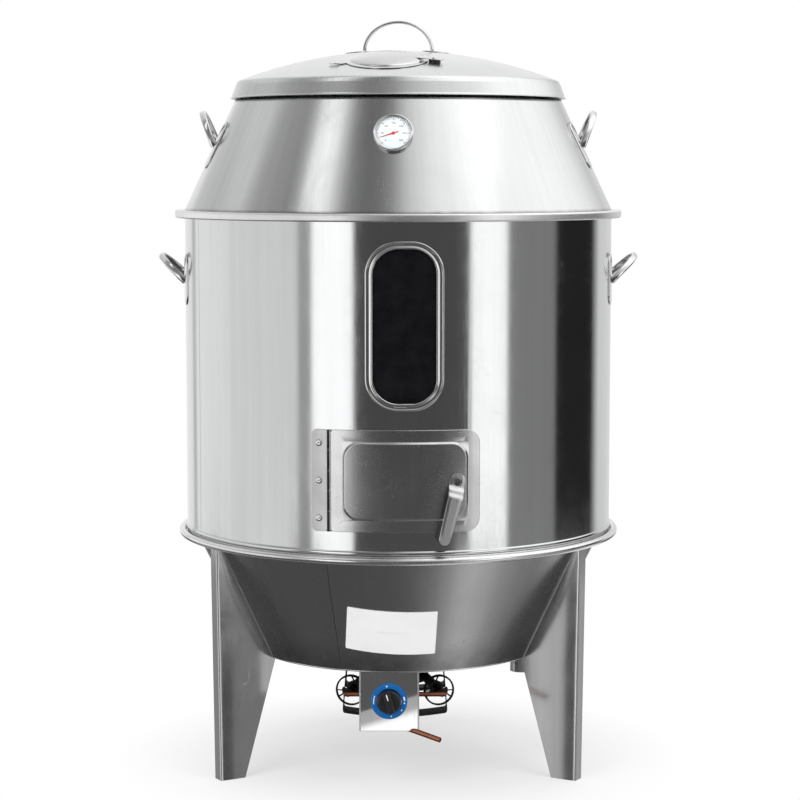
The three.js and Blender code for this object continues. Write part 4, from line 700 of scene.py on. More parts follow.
def foldedLeg(turn):
    # a sheet folded to a channel: web outside, side plates that bow in a little behind each fold
    stand, top = leg["stand"], leg["top"]
    loops = []
    for z in [0.0, 1.0, *evenSteps(0, stand - 1, 8)[1:], stand, *evenSteps(stand, top - 1, 10)[1:], top]:
        outer, inner = halfSection(z, 0.0), halfSection(z, leg["thick"])
        inner[0] = (outer[0][0], inner[0][1])
        loop = [*outer, *[(r, -t) for r, t in outer[::-1]], *[(r, -t) for r, t in inner], *inner[::-1]]
        loops.append([(r, t, z) for r, t in loop])
    points, faces = loftParts(loops, capped=False)
    count = len(loops[0])
    for start, flip in ((0, True), (len(points) - count, False)):
        for k in range(count // 2):
            m = count - 1 - k
            if k + 1 < m - 1:
                strip = [start + k, start + k + 1, start + m - 1, start + m]
                faces.append(strip[::-1] if flip else strip)
    # sole between the plates
    near, far = leg["foot"] + 1.5, leg["outLow"] - leg["thick"] - 0.2
    half = leg["half"] - leg["thick"] - 1.5
    sole = slabParts([(near, -half + 3), (far, -half), (far, half), (near, half - 3)], 0.2, 3.0)
    spin = turnAbout("Z", turn - 90)
    # weld beads along both plates on the bowl
    beads = []
    for side in (-1, 1):
        frames = []
        for z in evenSteps(stand + 2, top - 2, 16):
            r, t = halfSection(z, 0.0)[0]
            frames.append(spin @ Matrix.Translation((r + 0.8, side * (t + 0.3), z)))
        beads.append(sweptParts(frames, ovalSection(1.7, 1.5, 12)))
    return moved(spin, joined((points, faces), sole)), joined(*beads)


# barrel and window
windowPlan = {"width": 137.5, "height": 293.5, "corner": 57.0, "turn": 1.6, "bezel": 13.7, "lip": 9.7,
              "behind": 6.7}
doorPlan = {"width": 260.0, "height": 179.0, "corner": 24.0, "hingeCorner": 6.0, "turn": 1.85, "lap": 16.0,
            "linerLap": 2.0, "linerCorner": 19.0}


def plateCutter(name, plan, inset, corner, z):
    carry = wallFrame(plan["turn"], 0, drumRadius, z)
    return linkMesh(name, *pressedParts(plan["width"] - 2 * inset, plan["height"] - 2 * inset, corner,
                                        [(0, -60.0), (0, 40.0)], through(carry), (2, 2), 10))


def buildBarrel():
    low, top = levels["drumLow"], levels["drumTop"]
    window, door = windowPlan, doorPlan
    bead = []
    for k in range(13):
        angle = -pi / 2 + pi * k / 12
        bulge = 2.3 * cos(angle) ** 1.2 if 0 < k < 12 else 0.0
        bead.append((drumRadius + bulge, low + 13 + 4.6 * sin(angle)))
    profile = [(drumRadius - sheet, low), (drumRadius, low), *bead, (drumRadius, top),
               (drumRadius - sheet, top)]
    shell = linkMesh("barrel_skin", *turnedParts(profile, 288))
    lip = window["lip"]
    cutWith(shell, [plateCutter("windowCut", window, lip, window["corner"] - lip, levels["window"]),
                    plateCutter("doorCut", door, door["lap"], door["corner"] / 2, levels["door"])])
    wear(shell, "drum", "barrel", "stainless", "drum_shell")

    edge = drumRadius - sheet - gap
    inner = 371.5
    profile = [(inner - sheet, low), (edge, low), (edge, low + sheet), (inner, low + sheet),
               (inner, top - sheet), (edge, top - sheet), (edge, top), (inner - sheet, top)]
    liner = linkMesh("barrel_liner", *turnedParts(profile, 192))
    behind = window["behind"]
    cutWith(liner, [plateCutter("linerWindow", window, behind, window["corner"] - behind, levels["window"]),
                    plateCutter("linerDoor", door, door["linerLap"], door["linerCorner"], levels["door"])])
    wear(liner, "liner", "barrel", "inner_stainless", "drum_liner")

    # long weld seam, towards the left
    heights = (low + 20, (low + top) / 2, top - 4)
    seam = [wallFrame(-64.8, 0, drumRadius + 0.05, z) @ turnAbout("X", 90) for z in heights]
    makePiece("barrel_weld_seam", sweptParts(seam, ovalSection(1.2, 0.35, 10)), 32, "drum", "barrel",
              "stainless")


def buildWindow():
    window = windowPlan
    rim = window["bezel"]
    # a rolled double edge: outer lip, shallow channel, inner lip, and a return into the opening
    profile = [(0.0, 0.3), (0.0, 1.6), (0.4, 2.4), (1.4, 2.9), (2.8, 2.9), (3.8, 2.2), (5.0, 1.9),
               (rim - 5.6, 1.9), (rim - 4.4, 2.3), (rim - 3.0, 3.1), (rim - 1.6, 3.15), (rim - 0.5, 2.6),
               (rim, 1.6), (rim, 0.3)]
    parts = pressedParts(window["width"], window["height"], window["corner"], profile,
                         onDrum(window["turn"], levels["window"]), (16, 40), 16, True)
    makePiece("window_frame", parts, 40, "polished", "barrel", "bright_stainless", "window_bezel")

    paneInset = 4.7
    width, height = window["width"] - 2 * paneInset, window["height"] - 2 * paneInset
    middle = width / 2 - 0.5
    profile = [(i, -5.0) for i in evenSteps(middle, 0.4, 6)] + [(0.0, -4.6), (0.0, -0.4)]
    profile += [(i, 0.0) for i in evenSteps(0.4, middle, 6)]
    parts = pressedParts(width, height, window["corner"] - paneInset, profile,
                         onDrum(window["turn"], levels["window"], drumRadius - sheet - gap), (8, 30), 12)
    makePiece("window_pane", parts, 40, "darkGlass", "barrel", "dark_glass", "window_glass")


# fire door
def hingeBarrels(indexes, frameAt):
    # knuckles along the wall's y, each a fifth of the door's height
    length = doorPlan["height"] / 5
    parts = []
    for index in indexes:
        low, high = (index - 0.5) * length + 0.25, (index + 0.5) * length - 0.25
        outline = [(1.5, low), (1.8, low), (1.9, low + 0.2), (1.9, high - 0.2), (1.8, high), (1.5, high)]
        points, faces = turnedParts(outline, 32)
        parts.append(([frameAt @ Vector((x, z, y)) for x, y, z in points], faces))
    return joined(*parts)


def hingeTongue(fromX, toX, turn):
    # strip of the door's sheet that runs on towards the hinge's axis
    place = onDrum(turn, levels["door"])
    middle = (fromX + toX) / 2
    profile = [(2.5, 0.35), (0.2, 0.35), (0.0, 0.5), (0.0, 1.6), (0.2, 1.75), (2.5, 1.75)]
    return pressedParts(toX - fromX, doorPlan["height"], 0.6, profile,
                        lambda x, y, h: place(x + middle, y, h), (3, 24), 2)


def buildDoor():
    door = doorPlan
    place = onDrum(door["turn"], levels["door"])
    half = door["height"] / 2
    profile = [(i, 4.3) for i in evenSteps(half - 1, 26.5, 8)[:-1]]
    profile += [(26.0, 4.2), (24.4, 1.6), (23.0, 0.4), (10.0, 0.3), (0.5, 0.3), (0.0, 0.8), (0.1, 1.4),
                (0.5, 1.8), (0.9, 1.8), (1.5, 1.8), (10.0, 1.8), (19.6, 1.8), (20.2, 1.8), (21.2, 2.1),
                (22.2, 3.2), (23.2, 4.9), (24.0, 5.6), (24.7, 5.8), (25.3, 5.8)]
    profile += [(i, 5.8) for i in evenSteps(26.0, half - 1, 8)]

    def cornersAt(inset):
        # the skin's corners and the pressing's corners have their own radii
        if inset < 20:
            free, hinged = max(0.4, door["corner"] - inset), max(0.4, door["hingeCorner"] - inset)
            return [hinged, free, free, hinged]
        return [max(0.6, 28.0 - (inset - 21.5))] * 4

    def dished(x, y, rise):
        # the pressing is flatter than the barrel, so it stands lower in the middle
        share = min(1.0, max(0.0, (rise - 1.8) / 4.0))
        return place(x, y, rise + share * (0.1 * x * x / 800 - 1.0))

    plate = pressedParts(door["width"], door["height"], cornersAt, profile, dished, (40, 24), 8)
    tongue = hingeTongue(-133.9, -128.6, door["turn"])
    makePiece("pressed_door", joined(plate, tongue), 50, "door", "door", "stainless", "fire_door")


def buildHinge():
    hinge = {"turn": -17.596, "stand": 3.4, "leaf": 29.3, "inset": 2.1, "rivetAt": -17.5, "rivetStep": 66}
    z = levels["door"]
    hingeFrame = wallFrame(hinge["turn"], 0, drumRadius + hinge["stand"], z)
    # the knuckles wear near-black steel: painted shade along the hinge
    makePiece("door_knuckles", hingeBarrels([-1, 1], hingeFrame), 50, "knuckle", "door", "stainless")

    leafPlace = onDrum(hinge["turn"], z)
    centre = -(hinge["inset"] + hinge["leaf"] / 2)
    profile = [(13.0, 0.3), (0.4, 0.3), (0.0, 0.7), (0.1, 1.4), (0.5, 1.8), (0.9, 1.8), (6.0, 1.8),
               (13.0, 1.8)]
    leaf = pressedParts(hinge["leaf"], doorPlan["height"], [10, 3, 3, 10], profile,
                        lambda x, y, h: leafPlace(x + centre, y, h), (4, 24), 6)
    makePiece("hinge_strip", leaf, 50, "strip", "barrel", "stainless", "door_hinge_leaf")
    makePiece("strip_knuckles", hingeBarrels([-2, 0, 2], hingeFrame), 50, "knuckle", "barrel", "stainless")

    # domed rivet heads with a small dimple
    sag = drumRadius - sqrt(drumRadius ** 2 - hinge["rivetAt"] ** 2)
    top = 1.8 - sag + 0.4
    outline = [(0, top - 4.4), (2.1, top - 4.4), (2.1, top + 0.2), (6.2, top + 0.2), (6.1, top + 0.6),
               (5.4, top + 1.3), (4.2, top + 1.85), (2.9, top + 2.0), (1.9, top + 1.8), (1.5, top + 0.3),
               (0, top - 0.2)]
    for index, label in ((-1, "lower"), (0, "middle"), (1, "upper")):
        seat = wallFrame(hinge["turn"], 0, drumRadius, z + index * hinge["rivetStep"])
        seat = seat @ Matrix.Translation((hinge["rivetAt"], 0, 0))
        makePiece("hinge_rivet_cap_" + label, moved(seat, turnedParts(outline, 32)), 40, "polished", "barrel",
                  "bright_stainless")


def buildLatch():
    latch = {"turn": 14.6912, "tilt": 15.2, "sheet": 3.0, "seat": 6.1, "head": 14.6, "tip": 10.2,
             "tipStart": 102.8, "bore": 5.3}
    carry = wallFrame(latch["turn"], 0, drumRadius, levels["door"]) @ turnAbout("Z", -latch["tilt"])
    low, thick = latch["seat"], latch["sheet"]
    # rows along the strap: distance down from the spindle and height off the wall
    rows = [(-14.6, 0), (-14.2, 0), (-12.5, 0), (-8.0, 0), (-4.0, 0), (1.0, 0), (5.0, 0), (8.0, 0),
            (9.5, 0.4), (11.5, 2.0), (15.0, 5.4), (17.0, 6.8), (19.0, 7.3), (21.0, 7.9), (23.5, 9.6),
            (26.5, 12.0), (28.5, 12.9)]
    rows += [(reach, 13.0) for reach in (30.5, 32.0, 60.0, 85.0, 99.0, 102.8, 107.0, 110.5, 112.5, 113.0)]

    def halfAt(reach):
        head, tip, start = latch["head"], latch["tip"], latch["tipStart"]
        if reach < 0:
            return sqrt(max(0.0, head ** 2 - reach ** 2))
        if reach > start:
            return sqrt(max(0.0, tip ** 2 - (reach - start) ** 2))
        return head + (tip - head) * reach / start

    # section of the strap in shares of its half width and its thickness
    section = [(-1, 0), (-1, 0.8), *[(x, 1) for x in (-0.93, -0.5, 0, 0.5, 0.93)], (1, 0.8), (1, 0),
               *[(x, 0) for x in (0.93, 0.5, 0, -0.5, -0.93)]]
    loops = []
    for reach, lift in rows:
        half = max(0.4, halfAt(reach))
        loops.append([carry @ Vector((half * x, -reach, low + lift + thick * h)) for x, h in section])
    lever = linkMesh("latch_handle", *loftParts(loops), 38)
    cutWith(lever, [boreCutter("latchHole", latch["bore"], -20, 40, 32, carry)], 38)
    wear(lever, "lever", "latch", "stainless", "latch_lever")

    # spindle with a domed, dimpled head, and the tongue behind the wall; its dark steel is a painted dark
    # reflection
    top = low + thick + gap
    outline = [(0, -7.4), (5, -7.4), (5, top), (7.4, top), (7.4, top + 0.6), (6.9, top + 1.8),
               (5.6, top + 2.6), (3.9, top + 3.0), (2.4, top + 2.8), (1.7, top + 1.9), (0, top + 1.7)]
    turnBack = carry @ turnAbout("Z", latch["tilt"])
    profile = [(7.9, -7.4), (0.3, -7.4), (0, -7.1), (0, -4.7), (0.3, -4.4), (7.9, -4.4)]
    tongue = pressedParts(16, 44, [8, 8, 0.6, 0.6], profile,
                          lambda x, y, h: turnBack @ Vector((x, y + 14, h)), (2, 6), 8)
    makePiece("latch_bolt", joined(moved(carry, turnedParts(outline, 40)), tongue), 40, "bolt", "latch",
              "bright_stainless", "latch_spindle")


# handles
handle = {"tilt": 43.0, "reach": 66.0, "span": 128.0, "width": 12.0, "thick": 6.0, "drumRise": 474.9,
          "coneRise": 122.5, "lidTurn": 10.0, "lidReach": 56.59}
pad = {"offset": 9.0, "width": 44.0, "height": 95.0, "corner": 20.0}


def strapParts(tilt, reach):
    # an arch over local x, leaning by tilt from the wall's outward direction
    across, rise = handle["span"] / 2, reach - handle["thick"] / 2
    stations = [(across, -6.0, Vector((0, 1, 0)))]
    for k in range(41):
        angle = pi * k / 40
        direction = Vector((-across * sin(angle), rise * cos(angle), 0)).normalized()
        stations.append((across * cos(angle), rise * sin(angle), direction))
    stations.append((-across, -6.0, Vector((0, -1, 0))))
    side = Vector((0, 0, 1))
    frames = []
    for x, y, direction in stations:
        # feet flare where the strap meets its plates
        foot = max(0.0, 1 - abs(y) / 16)
        axes = (direction.cross(side) * (1 + 0.15 * foot), side * (1 + 0.12 * foot), direction)
        basis = Matrix(axes).transposed().to_4x4()
        basis.translation = Vector((x, y, 0))
        frames.append(turnAbout("X", 90 - tilt) @ basis)
    return sweptParts(frames, strapSection(handle["thick"], handle["width"], 2.5, 24))


def padParts(place, side):
    centre = side * (handle["span"] / 2 + pad["offset"])
    profile = [(21.5, 0.3), (14.0, 0.3), (0.4, 0.3), (0.0, 0.8), (0.2, 1.7), (1.0, 2.2), (8.0, 2.3),
               (14.0, 2.3), (21.5, 2.3)]
    return pressedParts(pad["width"], pad["height"], pad["corner"], profile,
                        lambda x, y, h: place(x + centre, y, h), (6, 12), 10)


def makeHandle(name, carry, tilt, reach, place, body, node):
    strap = moved(carry, strapParts(tilt, reach))
    makePiece(name, joined(strap, padParts(place, -1), padParts(place, 1)), 40, "polished", body,
              "bright_stainless", node)


def coneRadius(z):
    return drumRadius - (z - levels["coneLow"]) * coneSlope


def buildHandles():
    for side, label in ((1, "right"), (-1, "left")):
        z = levels["drumLow"] + handle["drumRise"]
        makeHandle("barrel_handle_" + label, wallFrame(side * 90, 0, drumRadius, z), handle["tilt"],
                   handle["reach"], onDrum(side * 90, z), "barrel", "drum_handle_" + label)
        z = levels["coneLow"] + handle["coneRise"]
        carry = wallFrame(side * 90, coneLean, coneRadius(z), z)
        makeHandle("cone_grip_" + label, carry, handle["tilt"], handle["reach"],
                   offCone(carry, coneRadius, coneSlope), "cone", "cone_handle_" + label)

    carry = Matrix.Translation((0, 0, dome["centre"] + dome["radius"])) @ turnAbout("Z", -handle["lidTurn"])

    def onDome(x, y, h):
        spot = carry @ Vector((x, y, 0))
        spot.z = dome["centre"] + sqrt((dome["radius"] + h) ** 2 - spot.x ** 2 - spot.y ** 2)
        return spot
    makeHandle("lid_grip", carry, 0.0, handle["lidReach"], onDome, "lid", "lid_handle")


# cone, flange and gauge
gauge = {"radius": 35.5, "depth": 8.6, "dial": 3.4, "needle": 199.0, "bore": 5.3, "turn": -1.4, "rise": 136.3,
         "numbers": 19.2, "scale": 28.5}


def buildCone():
    low, top = levels["coneLow"], levels["coneTop"]
    wall = sheet * hypot(1, coneSlope)
    neck, neckTop = 298, 1281.6
    profile = [(drumRadius, low), (neckRadius, top), (neck, top + 3), (neck, neckTop),
               (neck - sheet, neckTop), (neck - sheet, top + sheet),
               (coneRadius(top - sheet) - wall, top - sheet), (drumRadius - wall, low)]
    shell = linkMesh("cone_wall", *turnedParts(softened(profile, 1.4), 288))
    cutWith(shell, [boreCutter("gaugeHole", gauge["bore"], -20, 20, 32, gaugeFrame())])
    wear(shell, "cone", "cone", "stainless", "cone_shell")

    topZ = low - gap
    lowZ = topZ - 14
    profile = [(366, topZ - 10), (367.5, topZ - 10), (367.5, topZ - sheet), (416.5, topZ - sheet),
               (416.5, lowZ + sheet), (406, lowZ + sheet), (406, lowZ), (418, lowZ), (418, topZ), (366, topZ)]
    makePiece("cone_rolled_flange", turnedParts(softened(profile, 3.4, 5), 288), 32, "flange", "cone",
              "bright_stainless", "cone_flange_ring")


def gaugeFrame():
    z = levels["coneLow"] + gauge["rise"]
    return wallFrame(gauge["turn"], coneLean, coneRadius(z), z)


def buildGauge():
    carry = gaugeFrame()
    r, d, face = gauge["radius"], gauge["depth"], gauge["dial"]
    outline = [(gauge["bore"], 0.4), (r - 1.6, 0.4), (r - 0.7, 0.8), (r - 0.2, 1.8), (r, 3.0), (r, d - 3.0),
               (r - 0.4, d - 1.4), (r - 1.2, d - 0.4), (r - 2.2, d), (r - 3.2, d - 0.4), (r - 3.7, d - 1.1),
               (r - 4.2, d - 1.0), (r - 5.0, d - 1.3), (r - 5.0, d - 1.6), (r - 1.9, d - 1.7),
               (r - 1.9, 2.0), (gauge["bore"], 1.9)]
    makePiece("gauge_ring", moved(carry, turnedParts(outline, 96)), 28, "polished", "cone",
              "bright_stainless", "gauge_case")
    outline = [(1.5, face - 0.8), (r - 2.1, face - 0.8), (r - 2.1, face - 0.1), (r - 2.4, face), (1.5, face)]
    makePiece("gauge_face", moved(carry, turnedParts(outline, 96)), 32, "dial", "cone", "dial_face",
              "gauge_dial")
    makePiece("gauge_scale", scaleParts(carry, face + 0.06), 30, "figures", "cone", "black_plastic")

    low = face + gap
    blade = [(-9, -1.2), (-4, -0.8), (0, -1.5), (26, -0.25), (26, 0.25), (0, 1.5), (-4, 0.8), (-9, 1.2)]
    needle = moved(carry @ turnAbout("Z", gauge["needle"]), slabParts(blade, low, low + 0.7))
    hub = turnedParts([(0, low), (3, low), (3, low + 0.7), (2.2, low + 0.88), (0, low + 0.9)], 24)
    makePiece("gauge_pointer", joined(needle, moved(carry, hub)), 30, "needle", "needle", "needle_red",
              "gauge_needle")

    outline = [(0, d - 3.3), (r - 2.1, d - 3.3), (r - 2.1, d - 1.85), (0, d - 1.8)]
    makePiece("gauge_glass", moved(carry, turnedParts(outline, 96)), 32, "lens", "cone", "clear_glass",
              "gauge_lens")


def scaleParts(carry, face):
    # arc strokes with a longer one each fifth, and plain numbers
    parts = []
    outer = gauge["scale"]
    for k, angle in enumerate(evenSteps(225, -45, 30)):
        inner, half = (outer - 4, 0.42) if k % 5 == 0 else (outer - 2, 0.22)
        stroke = slabParts([(inner, -half), (inner, half), (outer, half), (outer, -half)], face, face - 0.05)
        parts.append(moved(carry @ turnAbout("Z", angle), stroke))
    for k, angle in enumerate(evenSteps(225, -45, 6)):
        x, y = gauge["numbers"] * cos(radians(angle)), gauge["numbers"] * sin(radians(angle))
        parts.append(numberParts(str(50 * k), 5.2, carry, (x, y, face)))
    return joined(*parts)


def numberParts(text, size, carry, place):
    curve = bpy.data.curves.new("figure", "FONT")
    curve.body = text
    curve.size = size
    curve.align_x = "CENTER"
    curve.align_y = "CENTER"
    curve.resolution_u = 3
    curve.extrude = 0.02
    holder = bpy.data.objects.new("figure", curve)
    scene.collection.objects.link(holder)
    graph = bpy.context.evaluated_depsgraph_get()
    mesh = bpy.data.meshes.new_from_object(holder.evaluated_get(graph))
    points = [carry @ (v.co + Vector(place)) for v in mesh.vertices]
    faces = [list(p.vertices) for p in mesh.polygons]
    bpy.data.objects.remove(holder)
    bpy.data.meshes.remove(mesh)
    return points, faces


# lid and vent
vent = {"x": -20.0, "y": -190.0, "hole": 55.0, "radius": 75.0, "crown": 67.0, "rise": 10.0, "float": 0.6,
        "sheet": 1.2, "tabTurn": 188.0, "armTurn": -12.0, "pivot": 87.0, "rivetHole": 3.3, "spacer": 5.3}


def domeArc(height, radius):
    # half of the dome's outline from its crown out to this radius
    reach = dome["radius"] + height
    limit = asin(radius / reach)
    arc = [(reach * sin(angle), dome["centre"] + reach * cos(angle)) for angle in evenSteps(0, limit, 24)]
    return [(0.0, arc[0][1]), *arc[1:]]


def ventFrame():
    # stands at the dome's centre and looks out through the vent
    x, y = vent["x"], vent["y"]
    out = Vector((x, y, sqrt(dome["radius"] ** 2 - x * x - y * y))).normalized()
    lean = Vector((0, 0, 1)).rotation_difference(out).to_matrix().to_4x4()
    return Matrix.Translation((0, 0, dome["centre"])) @ lean


def onVentDome(x, y, h):
    # a flat layout round the vent's centre, wrapped over the dome
    reach, radius = hypot(x, y), dome["radius"]
    angle = reach / radius
    out = (radius + h) * sin(angle) / reach if reach > 1e-6 else 0.0
    return ventFrame() @ Vector((x * out, y * out, (radius + h) * cos(angle)))


def buildLid():
    low = levels["lidLow"]
    edge = domeArc(0, 294)[-1][1]
    skirtTop = 1275.0
    outside = [*domeArc(0, 289), domeArc(0, 291)[-1]]
    shoulder = [(294.6, edge - 0.05), (297.6, edge - 1.2), (299.9, edge - 2.8), (301.4, edge - 4.8),
                (302.4, edge - 7.4)]
    skirt = [(304.0, skirtTop), (304.4, skirtTop - 1.2), (310.9, low + 4.5), (311.2, low + 3.6),
             (311.9, low + 2.4), (313.2, low + 1.9), (314.0, low + 1.4), (314.2, low + 0.8),
             (313.8, low + 0.2), (312.8, low), (310.0, low), (309.6, low + 1.0), (302.4, skirtTop)]
    inside = [(300.4, edge - 7.0), (299.2, edge - 4.6), (296.6, edge - 2.6), *domeArc(-sheet, 291)[::-1]]
    shell = linkMesh("lid_dome", *turnedParts([*outside, *shoulder, *skirt, *inside], 288, False))
    carry = ventFrame()
    pivot = carry @ turnAbout("Z", vent["armTurn"]) @ Matrix.Rotation(vent["pivot"] / dome["radius"], 4, "Y")
    cutWith(shell, [boreCutter("ventHole", vent["hole"], 780, 840, 64, carry),
                    boreCutter("ventRivetHole", vent["rivetHole"], 780, 840, 24, pivot)])
    wear(shell, "lid", "lid", "stainless", "lid_shell")


def buildVent():
    # vent disc: flat flange with a crowned middle, a grip tab and a pivot arm
    base, thick = vent["float"], vent["sheet"]
    radius, crownEdge, top = vent["radius"], vent["crown"], vent["float"] + vent["sheet"]
    crown = [(crownEdge + 1.2, top), (crownEdge - 0.8, top + 0.35)]
    for k in range(1, 17):
        turn = pi / 2 * k / 16
        crown.append(((crownEdge - 0.8) * cos(turn) ** 1.05 if k < 16 else 0.0,
                      top + 0.35 + (vent["rise"] - 0.35) * sin(turn) ** 1.15))
    under = [(0.0, base + vent["rise"]), *[(r, h - thick) for r, h in crown[-2:1:-1]],
             (crownEdge - 1.5, base)]
    outline = [(radius, base + 0.2), (radius, top - 0.3), (radius - 0.4, top), *crown, *under,
               (radius - 0.4, base)]
    points, faces = turnedParts(outline, 128)
    disc = ([onVentDome(*p) for p in points], faces)

    def strip(fromX, toX, liftAt, turn):
        middle = (fromX + toX) / 2
        c, s = cos(radians(turn)), sin(radians(turn))

        def place(x, y, share):
            along = x + middle
            lift = liftAt(along) + (thick if share >= 0.5 else 0.0)
            return onVentDome(along * c - y * s, along * s + y * c, lift)
        profile = [(9.6, 0), (5, 0), (0.3, 0), (0, 0), (0, 1), (0.3, 1), (5, 1), (9.6, 1)]
        return pressedParts(toX - fromX, 20, [0.5, 9.8, 9.8, 0.5], profile, place, (16, 2), 8)

    tab = strip(73.0, 105.0, lambda u: base + 2.6 * min(1.0, max(0.0, (u - 84) / 10)), vent["tabTurn"])
    arm = strip(44.0, 103.0, lambda u: base + vent["spacer"], vent["armTurn"])
    makePiece("vent_lid", joined(disc, tab, arm), 30, "vent", "vent", "stainless", "vent_cover")


# control box and knob
def buildBox():
    # a copy of the CAD box with its edges rounded, and a pale rod in each front fold: a painted highlight
    # along the folds
    fold = 1.9
    piece = bpy.data.objects.new("folded_control_box", cadPiece("control_box").data.copy())
    scene.collection.objects.link(piece)
    piece.data.materials.clear()
    cleanMesh(piece.data, True)
    soft = piece.modifiers.new("bevel", "BEVEL")
    soft.width = fold * mm
    soft.segments = 4
    soft.limit_method = "ANGLE"
    soft.angle_limit = radians(30)
    soft.harden_normals = False
    bakeModifiers(piece, 10)
    wear(piece, "box", "base", "bright_stainless", "control_box")

    low, high = (Vector(corner) * 1000 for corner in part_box("control_box"))
    # pale rods that paint a highlight line along each front fold
    highlightRods = []
    for x in (low.x + 1.7, high.x - 1.7):
        heights = (low.z + 0.4, low.z + 1.0, high.z - 1.0, high.z - 0.4)
        frames = [Matrix.Translation((x, low.y + 1.7, z)) for z in heights]
        highlightRods.append(sweptParts(frames, ovalSection(fold, fold, 20)))
    makePiece("box_fold_edges", joined(*highlightRods), 40, "edge", "base", "bright_stainless")


def buildKnob():
    knob = {"radius": 21.5, "skirt": 9.0, "stand": 4.6, "grip": 14.0, "ring": 33.0, "bore": 22.5,
            "turned": 16.0, "marks": 27.8}
    carry = Matrix(((1, 0, 0, -16.4), (0, 0, -1, -264.0), (0, 1, 0, 163.7), (0, 0, 0, 1)))
    r, bore = knob["ring"], knob["bore"]
    outline = softened([(bore, 0.3), (r, 0.3), (r, 1.6), (r - 0.8, 2.3), (bore + 0.8, 2.3), (bore, 1.7)], 0.4)
    makePiece("knob_ring", moved(carry, turnedParts(outline, 96)), 40, "bluePlastic", "base", "blue_plastic",
              "knob_bezel")

    # white marks on the ring: a dot at the top and a few short strokes
    parts = []
    for angle, width, length in ((99, 3.2, 3.2), (178, 1.6, 12.0), (162, 1.6, 4.0), (10, 2.8, 8.0),
                                 (-7, 2.6, 3.0), (-36, 2.0, 3.8), (-82, 2.2, 2.2)):
        x, y = knob["marks"] * cos(radians(angle)), knob["marks"] * sin(radians(angle))
        spin = carry @ Matrix.Translation((x, y, 2.31)) @ turnAbout("Z", angle)
        parts.append(pressedParts(width, length, min(width, length) * 0.48, [(0, 0), (0, 0.05), (0.05, 0.08)],
                                  through(spin), (2, 2), 6))
    makePiece("knob_ring_marks", joined(*parts), 40, "print", "base", "blank_plate")

    low, radius, skirtHeight = knob["stand"], knob["radius"], knob["skirt"]
    top = low + skirtHeight
    skirt = turnedParts(softened([(0, low), (radius, low), (radius, top - 2.4), (radius - 2.2, top),
                                  (0, top)], 1.2, 4), 96)
    turned = turnAbout("Z", knob["turned"])
    profile = [(inset, skirtHeight + rise) for inset, rise in ((0.2, -4.5), (0.0, -2), (0.4, 11.5),
                                                               (1.2, 12.6), (2.6, 13), (5.3, 13))]
    grip = pressedParts(knob["grip"], 38.4, 5.4, profile, lambda x, y, h: turned @ Vector((x, y, h + low)),
                        (4, 12), 8)
    makePiece("turning_knob", moved(carry, joined(skirt, grip)), 35, "blackPlastic", "knob", "black_plastic",
              "control_knob")
    line = pressedParts(1.8, 12.0, 0.8, [(0, 0), (0, 0.06), (0.05, 0.1)],
                        lambda x, y, h: carry @ turned @ Vector((x, y + 12.4, h + top + 13)), (2, 4), 4)
    makePiece("knob_pointer_line", line, 40, "print", "knob", "blank_plate")


# burner under the bowl
burner = {"x": -6.0, "mouthX": 82.0, "mouthY": -150.0, "mouthZ": 158.0, "turnIn": 12.0, "mouth": 29.0,
          "ring": 3.0, "deep": 6.0, "throat": 9.0, "far": 126.0}


def venturiParts():
    # mouth ring, three ribs and the tube, along local z
    out, deep, t, far = burner["mouth"], burner["deep"], burner["throat"], -burner["far"]
    inner = out - burner["ring"]
    ring = turnedParts(softened([(inner, -deep), (out, -deep), (out, 0), (inner, 0)], 0.9), 64)
    tube = turnedParts([(t - 2.5, -26), (t + 3.5, -26), (t + 3.8, -27.5), (t + 2.0, -31), (t + 0.4, -38),
                        (t, -48), (t, far), (t - 2.5, far)], 40)
    ribs = []
    for angle in (90, 210, 330):
        c, s = cos(radians(angle)), sin(radians(angle))
        frames = []
        for k in range(9):
            share = k / 8
            reach = inner + 1.5 + (t + 2.0 - inner - 1.5) * share
            frames.append(Matrix.Translation((reach * c, reach * s, -4 - 24 * share)))
        ribs.append(sweptParts(frames, ovalSection(1.5, 1.5, 10)))
    return joined(ring, tube, *ribs)


def shutterParts():
    # a small disc on the jet, with two thin vanes and a wire ring that sit in the mouth
    hub = turnedParts([(5.5, 0.3), (9.0, 0.3), (9.0, 2.3), (5.5, 2.3)], 40)
    wire = turnedParts(ovalSection(0.9, 0.9, 12, 26.6, 1.3), 64)
    half = [(5.8, -2.4), (14.5, -6.5), (16.0, -3.5), (16.2, -1.0), (26.4, -0.9)]
    vane = slabParts([*half, *[(x, -y) for x, y in half[::-1]]], 0.3, 2.3)
    return joined(hub, wire, *[moved(turnAbout("Z", turn), vane) for turn in (0, 180)])


def buildBurner():
    for side, label in ((1, "right"), (-1, "left")):
        mouth = (burner["x"] + side * burner["mouthX"], burner["mouthY"], burner["mouthZ"])
        carry = Matrix.Translation(mouth) @ turnAbout("Z", side * burner["turnIn"]) @ turnAbout("X", 90)
        makePiece("venturi_" + label, moved(carry, venturiParts()), 32, "iron", "base", "cast_iron",
                  "mixer_tube_" + label)
        makePiece("shutter_" + label, moved(carry, shutterParts()), 32, "iron", "shutter_" + label,
                  "stainless", "air_shutter_" + label)


def alongFrame(spot, direction):
    return Matrix.Translation(spot) @ direction.to_track_quat("Z", "Y").to_matrix().to_4x4()


